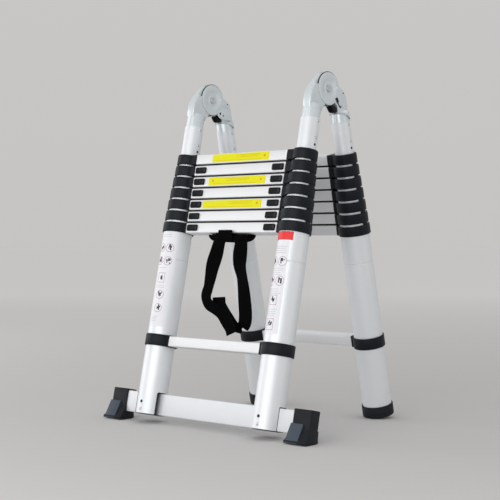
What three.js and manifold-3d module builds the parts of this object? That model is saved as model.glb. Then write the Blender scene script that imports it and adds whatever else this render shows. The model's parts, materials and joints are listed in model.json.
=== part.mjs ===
// Telescoping ladder, open as an A-frame with every section pushed in.
// Millimetres, +Z up, +X across the ladder, front half towards -Y.
// The origin is on the floor, at the middle of the footprint.
import * as THREE from "three";
import { mergeVertices } from "three/addons/utils/BufferGeometryUtils.js";
import Module from "manifold-3d";

// ---- driving dimensions ----
const LEAN = THREE.MathUtils.degToRad(12.5); // each half from upright
const PIVOT_HEIGHT = 851; // hinge axis above the floor
const PIVOT_LEVEL = 861; // hinge axis above the tubes' lower ends, along the stile
const PIVOT_OFFSET = 42.5; // hinge axis inboard of the stile's plane
const STILE_SPACING = 398; // between the centres of a half's two stiles

const SECTIONS = 7; // tubes in one stile
const BASE_RADIUS = 38; // outer radius of the lowest tube
const RADIUS_STEP = 2.2; // each tube is this much smaller than the one around it
const WALL = 1.5;
const TUBE_BELOW_COLLAR = 370; // how far a sliding tube reaches into the one around it
const HINGE_LEDGE = 90; // top of the upper tubes, below the hinge axis
const FIT_GAP = 0.35; // between pieces that touch
const BASE_SIDES = 24; // facets of the lowest tubes and what fits on them
const SECTION_SIDES = 16; // facets of the sliding sections

const STACK_LEVEL = 491.5; // lowest moving rung's centre above the tubes' lower ends
const STACK_PITCH = 30.8; // from one stacked rung to the next
const FIXED_RUNG_LEVEL = 191.5;

const COLLAR_RADIUS = 41.5;
const COLLAR_RADIUS_STEP = 1.75;
const COLLAR_HEIGHT = 26;
const FIXED_COLLAR_HEIGHT = 30;
const CONNECTOR_REACH = 45; // connector block's end from the stile's axis
const CONNECTOR_DEPTH = 38;

const RUNG_DEPTH = 35;
const RUNG_HEIGHT = 26.4;
const RUNG_WALL = 1.6;
const DRAIN_RADIUS = 4; // hole under each hollow rung
const DRAIN_PLACE = 90; // either side of the rung's middle
const BUMPER_DEPTH = 27;
const BUMPER_HEIGHT = 4;

const LATCH = { width: 37, height: 17, depth: 4, bevel: 1.2, fromConnector: 4 };

const BAR = { height: 55, front: -8, back: 17, wall: 1.8, halfLength: 331 };
const NOTCH_ROOM = 1.3; // between the bar and the notch in the tube
const SLEEVE = { inner: 282, outer: 336, wall: 4.2, bottom: -9 };
const SOLE = { toe: 33, heel: 17, rise: 3, front: 27 }; // from the tube's lower end, level
const WEDGE_WIDTH = 37;

const CAP = { radius: 41.5, above: 19 };

const HINGE = {
  halfWidth: 12,
  hubHalfWidth: 7,
  slotHalfWidth: 7.4,
  cheekRadius: 42,
  hubRadius: 40.5,
  slotRadius: 41.2,
  clearRadius: 43.3,
  beakRoomRadius: 58,
  beakRoomStart: 100, // degrees from the half's inward direction, over the top
  beakRoomEnd: 216,
  frontShoulder: -52,
  backShoulder: -65.2,
  plugLength: 35,
  pinRadius: 7,
  headRadius: 9.2,
  headDepth: 0.6,
};

// ---- solids ----
const wasm = await Module();
wasm.setup();

function toSolid(geometry) {
  const bare = geometry.clone();
  bare.deleteAttribute("normal");
  bare.deleteAttribute("uv");
  const merged = mergeVertices(bare, 1e-4);
  return new wasm.Manifold(
    new wasm.Mesh({
      numProp: 3,
      vertProperties: new Float32Array(merged.attributes.position.array),
      triVerts: new Uint32Array(merged.index.array),
    }),
  );
}

function toGeometry(solid) {
  const mesh = solid.getMesh();
  const points = new Float32Array(mesh.numVert * 3);
  for (let i = 0; i < mesh.numVert; i++) {
    const start = i * mesh.numProp;
    points.set(mesh.vertProperties.subarray(start, start + 3), i * 3);
  }
  const geometry = new THREE.BufferGeometry();
  geometry.setAttribute("position", new THREE.BufferAttribute(points, 3));
  geometry.setIndex(new THREE.BufferAttribute(mesh.triVerts, 1));
  geometry.computeVertexNormals();
  return geometry;
}

const join = (...solids) => solids.reduce((whole, next) => whole.add(next));
const cut = (solid, ...tools) => tools.reduce((rest, tool) => rest.subtract(tool), solid);

// A box between two corners.
function box(low, high) {
  const size = high.map((value, i) => value - low[i]);
  const middle = high.map((value, i) => (value + low[i]) / 2);
  return toSolid(new THREE.BoxGeometry(...size).translate(...middle));
}

// A cylinder along Z, with a side's corner on the X axis.
function rod(radius, bottom, top, x = 0, y = 0, sides = BASE_SIDES) {
  const geometry = new THREE.CylinderGeometry(radius, radius, top - bottom, sides);
  geometry.rotateX(Math.PI / 2).rotateZ(Math.PI / 2);
  return toSolid(geometry.translate(x, y, (top + bottom) / 2));
}

// A cylinder along X.
function crossRod(radius, low, high, sides = 24) {
  const geometry = new THREE.CylinderGeometry(radius, radius, high - low, sides);
  return toSolid(geometry.rotateZ(Math.PI / 2).translate((low + high) / 2, 0, 0));
}

// An outline in the YZ plane, given as [y, z] points, made thick along X.
function slab(points, low, high, bevel = 0) {
  const shape = new THREE.Shape(points.map(([y, z]) => new THREE.Vector2(y, z)));
  const geometry = new THREE.ExtrudeGeometry(shape, {
    depth: high - low - 2 * bevel,
    bevelEnabled: bevel > 0,
    bevelThickness: bevel,
    bevelSize: bevel,
    bevelOffset: -bevel,
    bevelSegments: 1,
  });
  geometry.translate(0, 0, low + bevel);
  const turn = new THREE.Matrix4().set(0, 0, 1, 0, 1, 0, 0, 0, 0, 1, 0, 0, 0, 0, 0, 1);
  return toSolid(geometry.applyMatrix4(turn));
}

// An outline in the XZ plane, given as [x, z] points, made thick along Y.
function panel(points, front, back) {
  const shape = new THREE.Shape(points.map(([x, z]) => new THREE.Vector2(x, z)));
  const geometry = new THREE.ExtrudeGeometry(shape, {
    depth: back - front,
    bevelEnabled: false,
  });
  return toSolid(geometry.rotateX(Math.PI / 2).translate(0, back, 0));
}

function pipe(outer, inner, bottom, top, x, y, sides) {
  return cut(rod(outer, bottom, top, x, y, sides), rod(inner, bottom - 1, top + 1, x, y, sides));
}

// ---- materials ----
const looks = {
  aluminium: { color: 0xdfe2e6, roughness: 0.35, metalness: 0.9 },
  rungAluminium: { color: 0xe6e8ea, roughness: 0.4, metalness: 0.85 },
  casting: { color: 0xd8dde0, roughness: 0.45, metalness: 0.8 },
  plastic: { color: 0x1d2127, roughness: 0.5, metalness: 0 },
  rubber: { color: 0x15171a, roughness: 0.8, metalness: 0 },
  steel: { color: 0xc2c6ca, roughness: 0.3, metalness: 1 },
  webbing: { color: 0x121212, roughness: 0.9, metalness: 0 },
};

function piece(name, solid, look) {
  const material = new THREE.MeshStandardMaterial(looks[look]);
  const mesh = new THREE.Mesh(toGeometry(solid), material);
  mesh.name = name;
  return mesh;
}

// ---- the parts of one half, in its own upright frame ----
// Here z runs up the stile from the tubes' lower ends, and -y is the outward side.
const stileX = (side) => (side * STILE_SPACING) / 2;
const rungLevel = (section) => STACK_LEVEL + (section - 1) * STACK_PITCH;
const tubeRadius = (section) => BASE_RADIUS - (section - 1) * RADIUS_STEP;
const collarRadius = (section) => COLLAR_RADIUS - (section - 1) * COLLAR_RADIUS_STEP;
const collarTop = (section) => rungLevel(section) + COLLAR_HEIGHT / 2;

// A ring around the stile with a block that reaches to the rung.
function collar(side, level, outer, inner, height, sides) {
  const x = stileX(side);
  const low = level - height / 2;
  const high = level + height / 2;
  const end = x - side * CONNECTOR_REACH;
  const blockLow = [Math.min(x, end), -CONNECTOR_DEPTH / 2, level - RUNG_HEIGHT / 2];
  const blockHigh = [Math.max(x, end), CONNECTOR_DEPTH / 2, level + RUNG_HEIGHT / 2];
  const body = join(rod(outer, low, high, x, 0, sides), box(blockLow, blockHigh));
  return cut(body, rod(inner, low - 5, high + 5, x, 0, sides));
}

// A hollow rung that runs into both connector blocks, with drain holes underneath.
function rung(level) {
  const half = STILE_SPACING / 2 - CONNECTOR_REACH + 1;
  const depth = RUNG_DEPTH / 2;
  const height = RUNG_HEIGHT / 2;
  const hollow = half - RUNG_WALL;
  const outer = box([-half, -depth, level - height], [half, depth, level + height]);
  const inner = box(
    [-hollow, RUNG_WALL - depth, level - height + RUNG_WALL],
    [hollow, depth - RUNG_WALL, level + height - RUNG_WALL],
  );
  const drains = [-1, 1].map((side) =>
    rod(DRAIN_RADIUS, level - height - 1, level, side * DRAIN_PLACE, 0, 8),
  );
  return cut(outer, inner, ...drains);
}

function bumper(level) {
  const half = STILE_SPACING / 2 - CONNECTOR_REACH + 1;
  const low = level + RUNG_HEIGHT / 2 - 0.5;
  return box([-half, -BUMPER_DEPTH / 2, low], [half, BUMPER_DEPTH / 2, low + 0.5 + BUMPER_HEIGHT]);
}

function baseTube(side, notched) {
  const x = stileX(side);
  const tube = pipe(BASE_RADIUS, BASE_RADIUS - WALL, 0, collarTop(1), x, 0, BASE_SIDES);
  if (!notched) return tube;
  const notch = box(
    [x - CAP.radius, BAR.front - NOTCH_ROOM, -5],
    [x + CAP.radius, BAR.back + NOTCH_ROOM, BAR.height + 2 * NOTCH_ROOM],
  );
  return cut(tube, notch);
}

function baseRung() {
  const level = rungLevel(1);
  const inner = BASE_RADIUS + FIT_GAP;
  const collars = [-1, 1].map((side) =>
    collar(side, level, COLLAR_RADIUS, inner, COLLAR_HEIGHT, BASE_SIDES),
  );
  return join(rung(level), bumper(level), ...collars);
}

function fixedRung() {
  const inner = BASE_RADIUS + FIT_GAP;
  const collars = [-1, 1].map((side) =>
    collar(side, FIXED_RUNG_LEVEL, COLLAR_RADIUS, inner, FIXED_COLLAR_HEIGHT, BASE_SIDES),
  );
  return join(rung(FIXED_RUNG_LEVEL), ...collars);
}

// Two tubes, their collars and the rung between them, fixed together for good.
function slidingSection(section) {
  const level = rungLevel(section);
  const outer = tubeRadius(section);
  const inner = outer - WALL;
  const last = section === SECTIONS;
  const top = last ? PIVOT_LEVEL - HINGE_LEDGE - FIT_GAP : collarTop(section);
  const solids = [rung(level)];
  for (const side of [-1, 1]) {
    const x = stileX(side);
    const ringInner = outer - WALL / 2;
    const ring = collarRadius(section);
    solids.push(pipe(outer, inner, level - TUBE_BELOW_COLLAR, top, x, 0, SECTION_SIDES));
    solids.push(collar(side, level, ring, ringInner, COLLAR_HEIGHT, SECTION_SIDES));
  }
  if (!last) solids.push(bumper(level));
  return join(...solids);
}

// A thumb pad that slides along the outward face of a rung.
function latch(side, section) {
  const half = LATCH.height / 2;
  const front = -RUNG_DEPTH / 2 - FIT_GAP;
  const centre = STILE_SPACING / 2 - CONNECTOR_REACH - LATCH.fromConnector - LATCH.width / 2;
  const outline = [
    [front, -half],
    [front, half],
    [front - LATCH.depth + LATCH.bevel, half],
    [front - LATCH.depth, half - LATCH.bevel],
    [front - LATCH.depth, LATCH.bevel - half],
    [front - LATCH.depth + LATCH.bevel, -half],
  ];
  const raised = outline.map(([y, z]) => [y, z + rungLevel(section)]).reverse();
  const middle = side * centre;
  return slab(raised, middle - LATCH.width / 2, middle + LATCH.width / 2);
}

function stabiliserBar() {
  const reach = BAR.halfLength;
  const outer = box([-reach, BAR.front, 0], [reach, BAR.back, BAR.height]);
  const inner = box(
    [-reach - 1, BAR.front + BAR.wall, BAR.wall],
    [reach + 1, BAR.back - BAR.wall, BAR.height - BAR.wall],
  );
  return cut(outer, inner);
}

// From level coordinates, with y from the tube's lower end and z from the floor, to the half's frame.
function fromLevel(y, z) {
  const rise = z - PIVOT_HEIGHT;
  const run = y - PIVOT_OFFSET * Math.cos(LEAN) - PIVOT_LEVEL * Math.sin(LEAN);
  return [
    run * Math.cos(LEAN) - rise * Math.sin(LEAN) + PIVOT_OFFSET,
    run * Math.sin(LEAN) + rise * Math.cos(LEAN) + PIVOT_LEVEL,
  ];
}

// A sleeve over the bar's end, on a flared sole that lies level on the floor.
function foot(side) {
  const low = side > 0 ? SLEEVE.inner : -SLEEVE.outer;
  const high = side > 0 ? SLEEVE.outer : -SLEEVE.inner;
  const front = BAR.front - SLEEVE.wall;
  const back = BAR.back + SLEEVE.wall;
  const top = BAR.height + SLEEVE.wall;
  const sleeve = box([low, front, SLEEVE.bottom], [high, back, top]);
  const sole = slab(
    [
      fromLevel(-SOLE.toe, SOLE.rise),
      fromLevel(-SOLE.toe * 0.6, 0.4),
      fromLevel(-SOLE.toe * 0.15, 0),
      fromLevel(SOLE.heel * 0.5, 0),
      fromLevel(SOLE.heel, SOLE.rise * 0.6),
      fromLevel(SOLE.heel, SOLE.rise + 4),
      [back, SLEEVE.bottom + 22],
      [front, SLEEVE.bottom + 24],
      fromLevel(-SOLE.front, SOLE.rise + 9),
      fromLevel(-SOLE.toe, SOLE.rise + 5),
    ],
    low - 1,
    high + 1,
  );
  const wedge = slab(
    [
      fromLevel(-SOLE.toe, SOLE.rise + 3),
      fromLevel(0, SOLE.rise + 3),
      [front + 2, SLEEVE.bottom + 33],
      [front - 1.5, SLEEVE.bottom + 33],
    ],
    low - 1,
    low - 1 + WEDGE_WIDTH,
  );
  const openEnd = side > 0 ? low - 5 : low + SLEEVE.wall;
  const blindEnd = side > 0 ? high - SLEEVE.wall : high + 5;
  const pocket = box(
    [openEnd, BAR.front - FIT_GAP, -FIT_GAP],
    [blindEnd, BAR.back + FIT_GAP, BAR.height + FIT_GAP],
  );
  return cut(join(sleeve, sole, wedge), pocket);
}

// A rubber cup on a tube's lower end, whose inboard rim rests on the floor.
function endCap(side) {
  const x = stileX(side);
  const tubeEndHeight =
    PIVOT_HEIGHT - PIVOT_LEVEL * Math.cos(LEAN) + PIVOT_OFFSET * Math.sin(LEAN);
  const below = (tubeEndHeight - CAP.radius * Math.sin(LEAN)) / Math.cos(LEAN);
  const body = rod(CAP.radius, -below, CAP.above, x);
  return cut(body, rod(BASE_RADIUS + FIT_GAP, -FIT_GAP, CAP.above + 1, x));
}

// ---- the hinges, in a frame at the hinge axis with -y outward and +z up the stile ----
// The flat plates keep to their own quarter, so the two arms meet at no angle of the fold.
const FRONT_PLATE = [
  [-18, -64],
  [-9, -47],
  [-3, -38],
  [-3, -1.5],
  [-54.5, -1.5],
  [-59, -9],
  [-66.3, -24],
  [-67.8, -34],
  [-67.5, -57],
  [-65, -64],
];

// The middle of the front arm runs on past the axis, along the hub's rim.
const BEAK = [
  [-56, -1.5],
  [0, -30],
  [0, 30],
  [-18, 37.5],
  [-28, 34.5],
  [-35, 30],
  [-40.5, 24],
  [-54, 3],
];

const BACK_PLATE = [
  [-24.5, -66],
  [-24.5, -47],
  [-17, -38],
  [-3, -30],
  [-3, -1.5],
  [-45.5, -1.5],
  [-56.5, -11.5],
  [-63.5, -24],
  [-65.8, -34],
  [-65.5, -60],
  [-63.5, -66],
];

// Degrees and radii of the narrower room that the beak's tip swings into.
const BEAK_TIP_ROOM = [
  [217, 48.5],
  [225, 48.2],
  [234, 47],
  [242, 45.2],
  [250, 43.5],
];

const PAST_ARM = 30; // half length of a rod that cuts right across an arm
const PIN_SIDES = 16;
const BUTTON = { halfWidth: 8.6, pocketHalfWidth: 9.2, back: -26.8, bottom: -64.3, top: -43 };

// The round plug that fills the top tube's mouth and stands out of it up to a shoulder.
function plug(x, shoulder) {
  const outer = tubeRadius(SECTIONS) - WALL - FIT_GAP;
  const low = -HINGE_LEDGE - HINGE.plugLength;
  return rod(outer, low, shoulder, x, -PIVOT_OFFSET, SECTION_SIDES);
}

function pinHole(x) {
  return crossRod(HINGE.pinRadius + FIT_GAP, x - PAST_ARM, x + PAST_ARM, PIN_SIDES);
}

function frontArm(side) {
  const x = stileX(side);
  const wide = slab(FRONT_PLATE, x - HINGE.halfWidth, x + HINGE.halfWidth, 2);
  const clear = crossRod(HINGE.clearRadius, x - PAST_ARM, x + PAST_ARM);
  const web = slab(FRONT_PLATE, x - HINGE.hubHalfWidth, x + HINGE.hubHalfWidth);
  const beak = slab(BEAK, x - HINGE.hubHalfWidth, x + HINGE.hubHalfWidth);
  const hub = crossRod(HINGE.hubRadius, x - HINGE.hubHalfWidth, x + HINGE.hubHalfWidth);
  const body = cut(join(wide, plug(x, HINGE.frontShoulder)), clear);
  return cut(join(body, web, beak, hub), pinHole(x));
}

// A wedge of room, open to the back arm's outward side, that the front arm's beak swings into.
function beakRoom(x) {
  const steps = 10;
  const rim = [];
  for (let i = 0; i <= steps; i++) {
    const share = i / steps;
    const degrees = HINGE.beakRoomStart + share * (HINGE.beakRoomEnd - HINGE.beakRoomStart);
    rim.push([degrees, HINGE.beakRoomRadius]);
  }
  const outline = [[0, 0]];
  for (const [degrees, radius] of [...rim, ...BEAK_TIP_ROOM]) {
    const angle = (degrees * Math.PI) / 180;
    outline.push([radius * Math.cos(angle), radius * Math.sin(angle)]);
  }
  return slab(outline, x - HINGE.slotHalfWidth, x + HINGE.slotHalfWidth);
}

function backArm(side) {
  const x = stileX(side);
  const wide = slab(BACK_PLATE, x - HINGE.halfWidth, x + HINGE.halfWidth, 2);
  const cheeks = join(
    crossRod(HINGE.cheekRadius, x - HINGE.halfWidth, x - HINGE.slotHalfWidth),
    crossRod(HINGE.cheekRadius, x + HINGE.slotHalfWidth, x + HINGE.halfWidth),
  );
  const slot = crossRod(HINGE.slotRadius, x - HINGE.slotHalfWidth, x + HINGE.slotHalfWidth);
  const pocket = box(
    [x - BUTTON.pocketHalfWidth, BUTTON.back, BUTTON.bottom],
    [x + BUTTON.pocketHalfWidth, 5, BUTTON.top],
  );
  const body = join(wide, cheeks, plug(x, HINGE.backShoulder));
  return cut(body, slot, beakRoom(x), pocket, pinHole(x));
}

function hingePin(side) {
  const x = stileX(side);
  const inner = HINGE.halfWidth + FIT_GAP;
  const outer = inner + HINGE.headDepth;
  return join(
    crossRod(HINGE.pinRadius, x - outer, x + outer, PIN_SIDES),
    crossRod(HINGE.headRadius, x - outer, x - inner),
    crossRod(HINGE.headRadius, x + inner, x + outer),
  );
}

// A sheet-metal thumb lever that lies on the inboard cheek and rocks on its own plate.
function lever(side) {
  const outline = [
    [-60, -22],
    [-60, -64.5],
    [-37, -58],
    [-18, -51],
    [-10.5, -41.5],
    [-13, -35],
    [-23, -28.5],
    [-45, -23.5],
  ];
  const thick = 2;
  const x = stileX(side);
  const face = HINGE.halfWidth + FIT_GAP;
  const low = side > 0 ? x - face - thick : x + face;
  return slab(outline, low, low + thick);
}

// A release button in the pocket on the inboard side of the back arm.
function button(side) {
  const x = stileX(side);
  const outline = [
    [-3, -45],
    [-9, -44],
    [-15, -44.5],
    [-22.5, -50],
    [-23.5, -63],
    [-15.5, -63.5],
    [-9, -57.5],
  ];
  return slab(outline, x - BUTTON.halfWidth, x + BUTTON.halfWidth);
}

// ---- the carry strap, in a frame at the lowest moving rung with +z straight up ----
function strap() {
  const thick = 3;
  const face = RUNG_DEPTH / 2 + 3; // room for the rung's lean
  const under = -RUNG_HEIGHT / 2 - 5;
  const saddle = join(
    box([-34, -face - thick, under - 12], [16, -face, 1]),
    box([-34, face, under - 12], [16, face + thick, 1]),
    panel(
      [
        [-78, under],
        [-70, under - 10],
        [-50, under - 17],
        [42, under - 17],
        [54, under - 10],
        [61, under],
      ],
      -face - thick,
      face + thick,
    ),
  );
  const top = under - 12;
  const front = -face - thick;
  const leftBranch = [
    [-46, top],
    [-8, top],
    [-28, -88],
    [-45, -131],
    [-57, -157],
    [-57, -175],
    [-41, -198],
    [3, -215],
    [44, -241],
    [31, -268],
    [0, -268],
    [-30, -225],
    [-79, -198],
    [-93, -174],
    [-81, -121],
    [-75, -88],
  ];
  const rightBranch = [
    [12, top],
    [52, top],
    [54, -90],
    [66, -121],
    [69, -172],
    [73, -223],
    [61, -252],
    [27, -252],
    [37, -235],
    [31, -172],
    [22, -147],
    [12, -90],
  ];
  const foldedEnd = [
    [-65, -175],
    [-22, -175],
    [-22, -190],
    [2, -213],
    [45, -235],
    [54, -252],
    [20, -256],
    [-13, -250],
    [-43, -222],
    [-56, -198],
  ];
  const left = panel(leftBranch, front, front + thick);
  const behind = front + thick - 0.5;
  const right = panel(rightBranch, behind, behind + thick);
  const folded = panel(foldedEnd, behind, behind + thick);
  return join(saddle, left, right, folded);
}

// ---- assembly ----
const ladder = new THREE.Group();

// A half's groups: one at the hinge axis, and one at the tubes' lower ends.
function makeHalf(turned) {
  const turn = new THREE.Group();
  const atHinge = new THREE.Group();
  const stiles = new THREE.Group();
  turn.position.set(0, 0, PIVOT_HEIGHT);
  turn.rotation.z = turned ? Math.PI : 0;
  atHinge.rotation.x = -LEAN;
  stiles.position.set(0, -PIVOT_OFFSET, -PIVOT_LEVEL);
  atHinge.add(stiles);
  turn.add(atHinge);
  ladder.add(turn);
  return { atHinge, stiles };
}

const sideName = (side, turned) => ((side > 0) === turned ? "left" : "right");

function fillHalf(name, half, turned) {
  half.stiles.add(piece(`${name}_base_rung`, baseRung(), "rungAluminium"));
  half.stiles.add(piece(`${name}_fixed_rung`, fixedRung(), "rungAluminium"));
  for (let section = 2; section <= SECTIONS; section++) {
    const label = `${name}_section_${section}`;
    half.stiles.add(piece(label, slidingSection(section), "aluminium"));
  }
  for (const side of [-1, 1]) {
    const where = sideName(side, turned);
    half.stiles.add(piece(`${name}_base_tube_${where}`, baseTube(side, !turned), "aluminium"));
    for (let section = 1; section < SECTIONS; section++) {
      const label = `${name}_latch_${where}_${section}`;
      half.stiles.add(piece(label, latch(side, section), "plastic"));
    }
    const arm = turned ? backArm(side) : frontArm(side);
    half.atHinge.add(piece(`hinge_${name}_arm_${where}`, arm, "casting"));
  }
}

const frontHalf = makeHalf(false);
const backHalf = makeHalf(true);
fillHalf("front", frontHalf, false);
fillHalf("back", backHalf, true);

frontHalf.stiles.add(piece("stabiliser_bar", stabiliserBar(), "aluminium"));
for (const side of [-1, 1]) {
  frontHalf.stiles.add(piece(`foot_${sideName(side, false)}`, foot(side), "rubber"));
  const backSide = sideName(side, true);
  backHalf.stiles.add(piece(`back_cap_${backSide}`, endCap(side), "rubber"));
  backHalf.atHinge.add(piece(`hinge_pin_${backSide}`, hingePin(side), "steel"));
  backHalf.atHinge.add(piece(`hinge_lever_${backSide}`, lever(side), "steel"));
  backHalf.atHinge.add(piece(`hinge_button_${backSide}`, button(side), "plastic"));
}

// The strap hangs straight down, so it stands outside the leaning groups.
const strapMesh = piece("carry_strap", strap(), "webbing");
const strapRun = STACK_LEVEL - PIVOT_LEVEL;
strapMesh.position.set(
  0,
  strapRun * Math.sin(LEAN) - PIVOT_OFFSET * Math.cos(LEAN),
  PIVOT_HEIGHT + strapRun * Math.cos(LEAN) + PIVOT_OFFSET * Math.sin(LEAN),
);
ladder.add(strapMesh);

// Move the footprint's middle onto the origin.
ladder.updateMatrixWorld(true);
const extent = new THREE.Box3().setFromObject(ladder, true);
ladder.position.y = -(extent.min.y + extent.max.y) / 2;
ladder.position.z = -extent.min.z;

export default ladder;
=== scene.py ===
"""Looks for the telescoping ladder: every tube, collar, rung, latch, hinge and strap as its own piece.

Lengths in the named values are millimetres unless a name ends in _M; mm() turns them into metres.
"""

import json
import math
import random

import bmesh
import bpy
from mathutils import Matrix, Vector

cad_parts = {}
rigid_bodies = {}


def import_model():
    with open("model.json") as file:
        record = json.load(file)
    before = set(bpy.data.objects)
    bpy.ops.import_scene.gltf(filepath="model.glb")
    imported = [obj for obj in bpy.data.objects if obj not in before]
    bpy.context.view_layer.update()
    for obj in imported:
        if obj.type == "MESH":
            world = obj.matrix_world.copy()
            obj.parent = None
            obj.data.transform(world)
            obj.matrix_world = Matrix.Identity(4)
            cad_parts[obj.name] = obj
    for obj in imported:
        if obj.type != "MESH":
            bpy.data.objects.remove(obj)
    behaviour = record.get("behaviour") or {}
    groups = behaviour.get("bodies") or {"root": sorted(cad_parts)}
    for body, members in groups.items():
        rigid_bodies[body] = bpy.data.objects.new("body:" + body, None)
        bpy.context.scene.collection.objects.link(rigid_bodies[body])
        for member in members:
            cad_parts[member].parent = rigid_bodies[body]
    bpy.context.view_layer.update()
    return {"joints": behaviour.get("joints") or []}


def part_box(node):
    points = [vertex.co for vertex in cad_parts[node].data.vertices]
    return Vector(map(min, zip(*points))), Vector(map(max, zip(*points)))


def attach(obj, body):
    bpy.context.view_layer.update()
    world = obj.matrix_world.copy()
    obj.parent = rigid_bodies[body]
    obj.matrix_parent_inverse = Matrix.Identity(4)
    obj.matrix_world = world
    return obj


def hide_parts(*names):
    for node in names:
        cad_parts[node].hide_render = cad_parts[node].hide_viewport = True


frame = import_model()

# ---- driving dimensions ----
SECTIONS = 7
BASE_RADIUS = 38.0
RADIUS_STEP = 2.2
WALL = 1.5
TUBE_BELOW_COLLAR = 370.0
STACK_LEVEL = 491.5
STACK_PITCH = 30.8
FIXED_RUNG_LEVEL = 191.5
PIVOT_LEVEL = 861.0
PIVOT_OFFSET = 42.5
HINGE_LEDGE = 90.0

COLLAR_RADIUS = 41.5
COLLAR_RADIUS_STEP = 1.75
COLLAR_HEIGHT = 26.0
FIXED_COLLAR_HEIGHT = 30.0
CONNECTOR_REACH = 45.0
CONNECTOR_DEPTH = 38.0

RUNG_DEPTH = 35.0
RUNG_HEIGHT = 26.4
BUMPER_DEPTH = 29.0
BUMPER_HEIGHT = 4.1
LATCH_WIDTH = 37.0
LATCH_HEIGHT = 17.0
LATCH_DEPTH = 4.0
LATCH_FROM_CONNECTOR = 4.0

BAR_HEIGHT = 55.0
BAR_FRONT = -8.0
BAR_BACK = 17.0
BAR_HALF = 331.0
NOTCH_ROOM = 1.3

CHEEK_RADIUS = 41.7
HUB_RADIUS = 40.5
HINGE_HALF = 12.0
HUB_HALF = 7.0
SLOT_HALF = 7.4
CLEAR_RADIUS = 43.3

SIDES = {"left": -1, "right": 1}


def mm(*values):
    """Millimetres to metres: one number, or a vector of three."""
    return values[0] / 1000 if len(values) == 1 else Vector(values) / 1000


# ---- frames ----
def middle(node):
    low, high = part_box(node)
    return (low + high) / 2


def joint_named(name):
    return next(joint for joint in frame["joints"] if joint["name"] == name)


LEAN = math.atan2(*joint_named("front_slide_2")["axis"][1:])
PIVOT = Vector((0, *middle("hinge_pin_left")[1:]))
SPACING = middle("front_base_tube_right").x * 2000
AT_HINGE = {
    "front": Matrix.Translation(PIVOT) @ Matrix.Rotation(-LEAN, 4, "X"),
    "back": Matrix.Translation(PIVOT)
    @ Matrix.Rotation(math.pi, 4, "Z")
    @ Matrix.Rotation(-LEAN, 4, "X"),
}
DOWN_STILE = Matrix.Translation(mm(0, -PIVOT_OFFSET, -PIVOT_LEVEL))
STILES = {half: matrix @ DOWN_STILE for half, matrix in AT_HINGE.items()}


def local_side(half, side):
    """+1 or -1: where the named world side lies along a half's own X axis."""
    return SIDES[side] if half == "front" else -SIDES[side]


def on_stile(half, side, level=0.0):
    """The frame on a stile's axis, with its -x side towards the ladder's middle."""
    way = local_side(half, side)
    place = Matrix.Translation(mm(way * SPACING / 2, 0, level))
    turn = Matrix.Rotation(0 if way > 0 else math.pi, 4, "Z")
    return STILES[half] @ place @ turn


def body_of(half, section):
    return f"{half}_base" if section == 1 else f"{half}_section_{section}"


def rung_level(section):
    return STACK_LEVEL + (section - 1) * STACK_PITCH


def tube_radius(section):
    return BASE_RADIUS - (section - 1) * RADIUS_STEP


def collar_radius(section):
    return COLLAR_RADIUS - (section - 1) * COLLAR_RADIUS_STEP


# ---- mesh building ----
def mesh_from(name, points, faces):
    mesh = bpy.data.meshes.new(name)
    mesh.from_pydata([mm(*point) for point in points], [], faces)
    mesh.update()
    return mesh


def loft(rings, loop=False):
    """Points and faces of a skin over rings of equal length; a loop closes on its first ring."""
    count = len(rings[0])
    points = [point for ring in rings for point in ring]
    faces = []
    last = len(rings) if loop else len(rings) - 1
    for r in range(last):
        here, there = r * count, (r + 1) % len(rings) * count
        for i in range(count):
            j = (i + 1) % count
            faces.append((here + i, here + j, there + j, there + i))
    if not loop:
        faces.append(tuple(reversed(range(count))))
        faces.append(tuple(range((len(rings) - 1) * count, len(rings) * count)))
    return points, faces


def lathe(profile, segments=64, loop=True):
    """Turns (radius, height) points about Z."""
    rings = []
    for i in range(segments):
        angle = 2 * math.pi * i / segments
        along = (math.cos(angle), math.sin(angle))
        rings.append([(r * along[0], r * along[1], z) for r, z in profile])
    points = [point for ring in rings for point in ring]
    count = len(profile)
    faces = []
    spans = count if loop else count - 1
    for r in range(segments):
        here, there = r * count, (r + 1) % segments * count
        for i in range(spans):
            j = (i + 1) % count
            faces.append((here + i, there + i, there + j, here + j))
    return points, faces


def merge(*parts):
    points, faces = [], []
    for part_points, part_faces in parts:
        start = len(points)
        points += part_points
        faces += [tuple(start + i for i in face) for face in part_faces]
    return points, faces


def shifted(part, dx=0.0, dy=0.0, dz=0.0):
    points, faces = part
    return [(x + dx, y + dy, z + dz) for x, y, z in points], faces


def turned(part, axes):
    """Swaps axes: axes gives, for each new axis, the old axis it comes from."""
    points, faces = part
    return [tuple(point[a] for a in axes) for point in points], faces


def inset(outline, distance):
    """Moves a closed outline of (a, b) points inwards; the outline runs anticlockwise."""
    moved = []
    count = len(outline)
    for i in range(count):
        before, here, after = (Vector(outline[(i + k) % count]) for k in (-1, 0, 1))
        first = (here - before).normalized()
        second = (after - here).normalized()
        bisector = Vector((-first.y - second.y, first.x + second.x))
        if bisector.length < 1e-6:
            moved.append(tuple(here))
            continue
        bisector.normalize()
        share = max(0.35, bisector.dot(Vector((-first.y, first.x))))
        moved.append(tuple(here + bisector * distance / share))
    return moved


def rounded_rectangle(a_low, a_high, b_low, b_high, radius, steps=5):
    corners = [
        (a_high - radius, b_low + radius, -90),
        (a_high - radius, b_high - radius, 0),
        (a_low + radius, b_high - radius, 90),
        (a_low + radius, b_low + radius, 180),
    ]
    outline = []
    for a, b, start in corners:
        for i in range(steps + 1):
            angle = math.radians(start + 90 * i / steps)
            outline.append((a + radius * math.cos(angle), b + radius * math.sin(angle)))
    return outline


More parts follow.
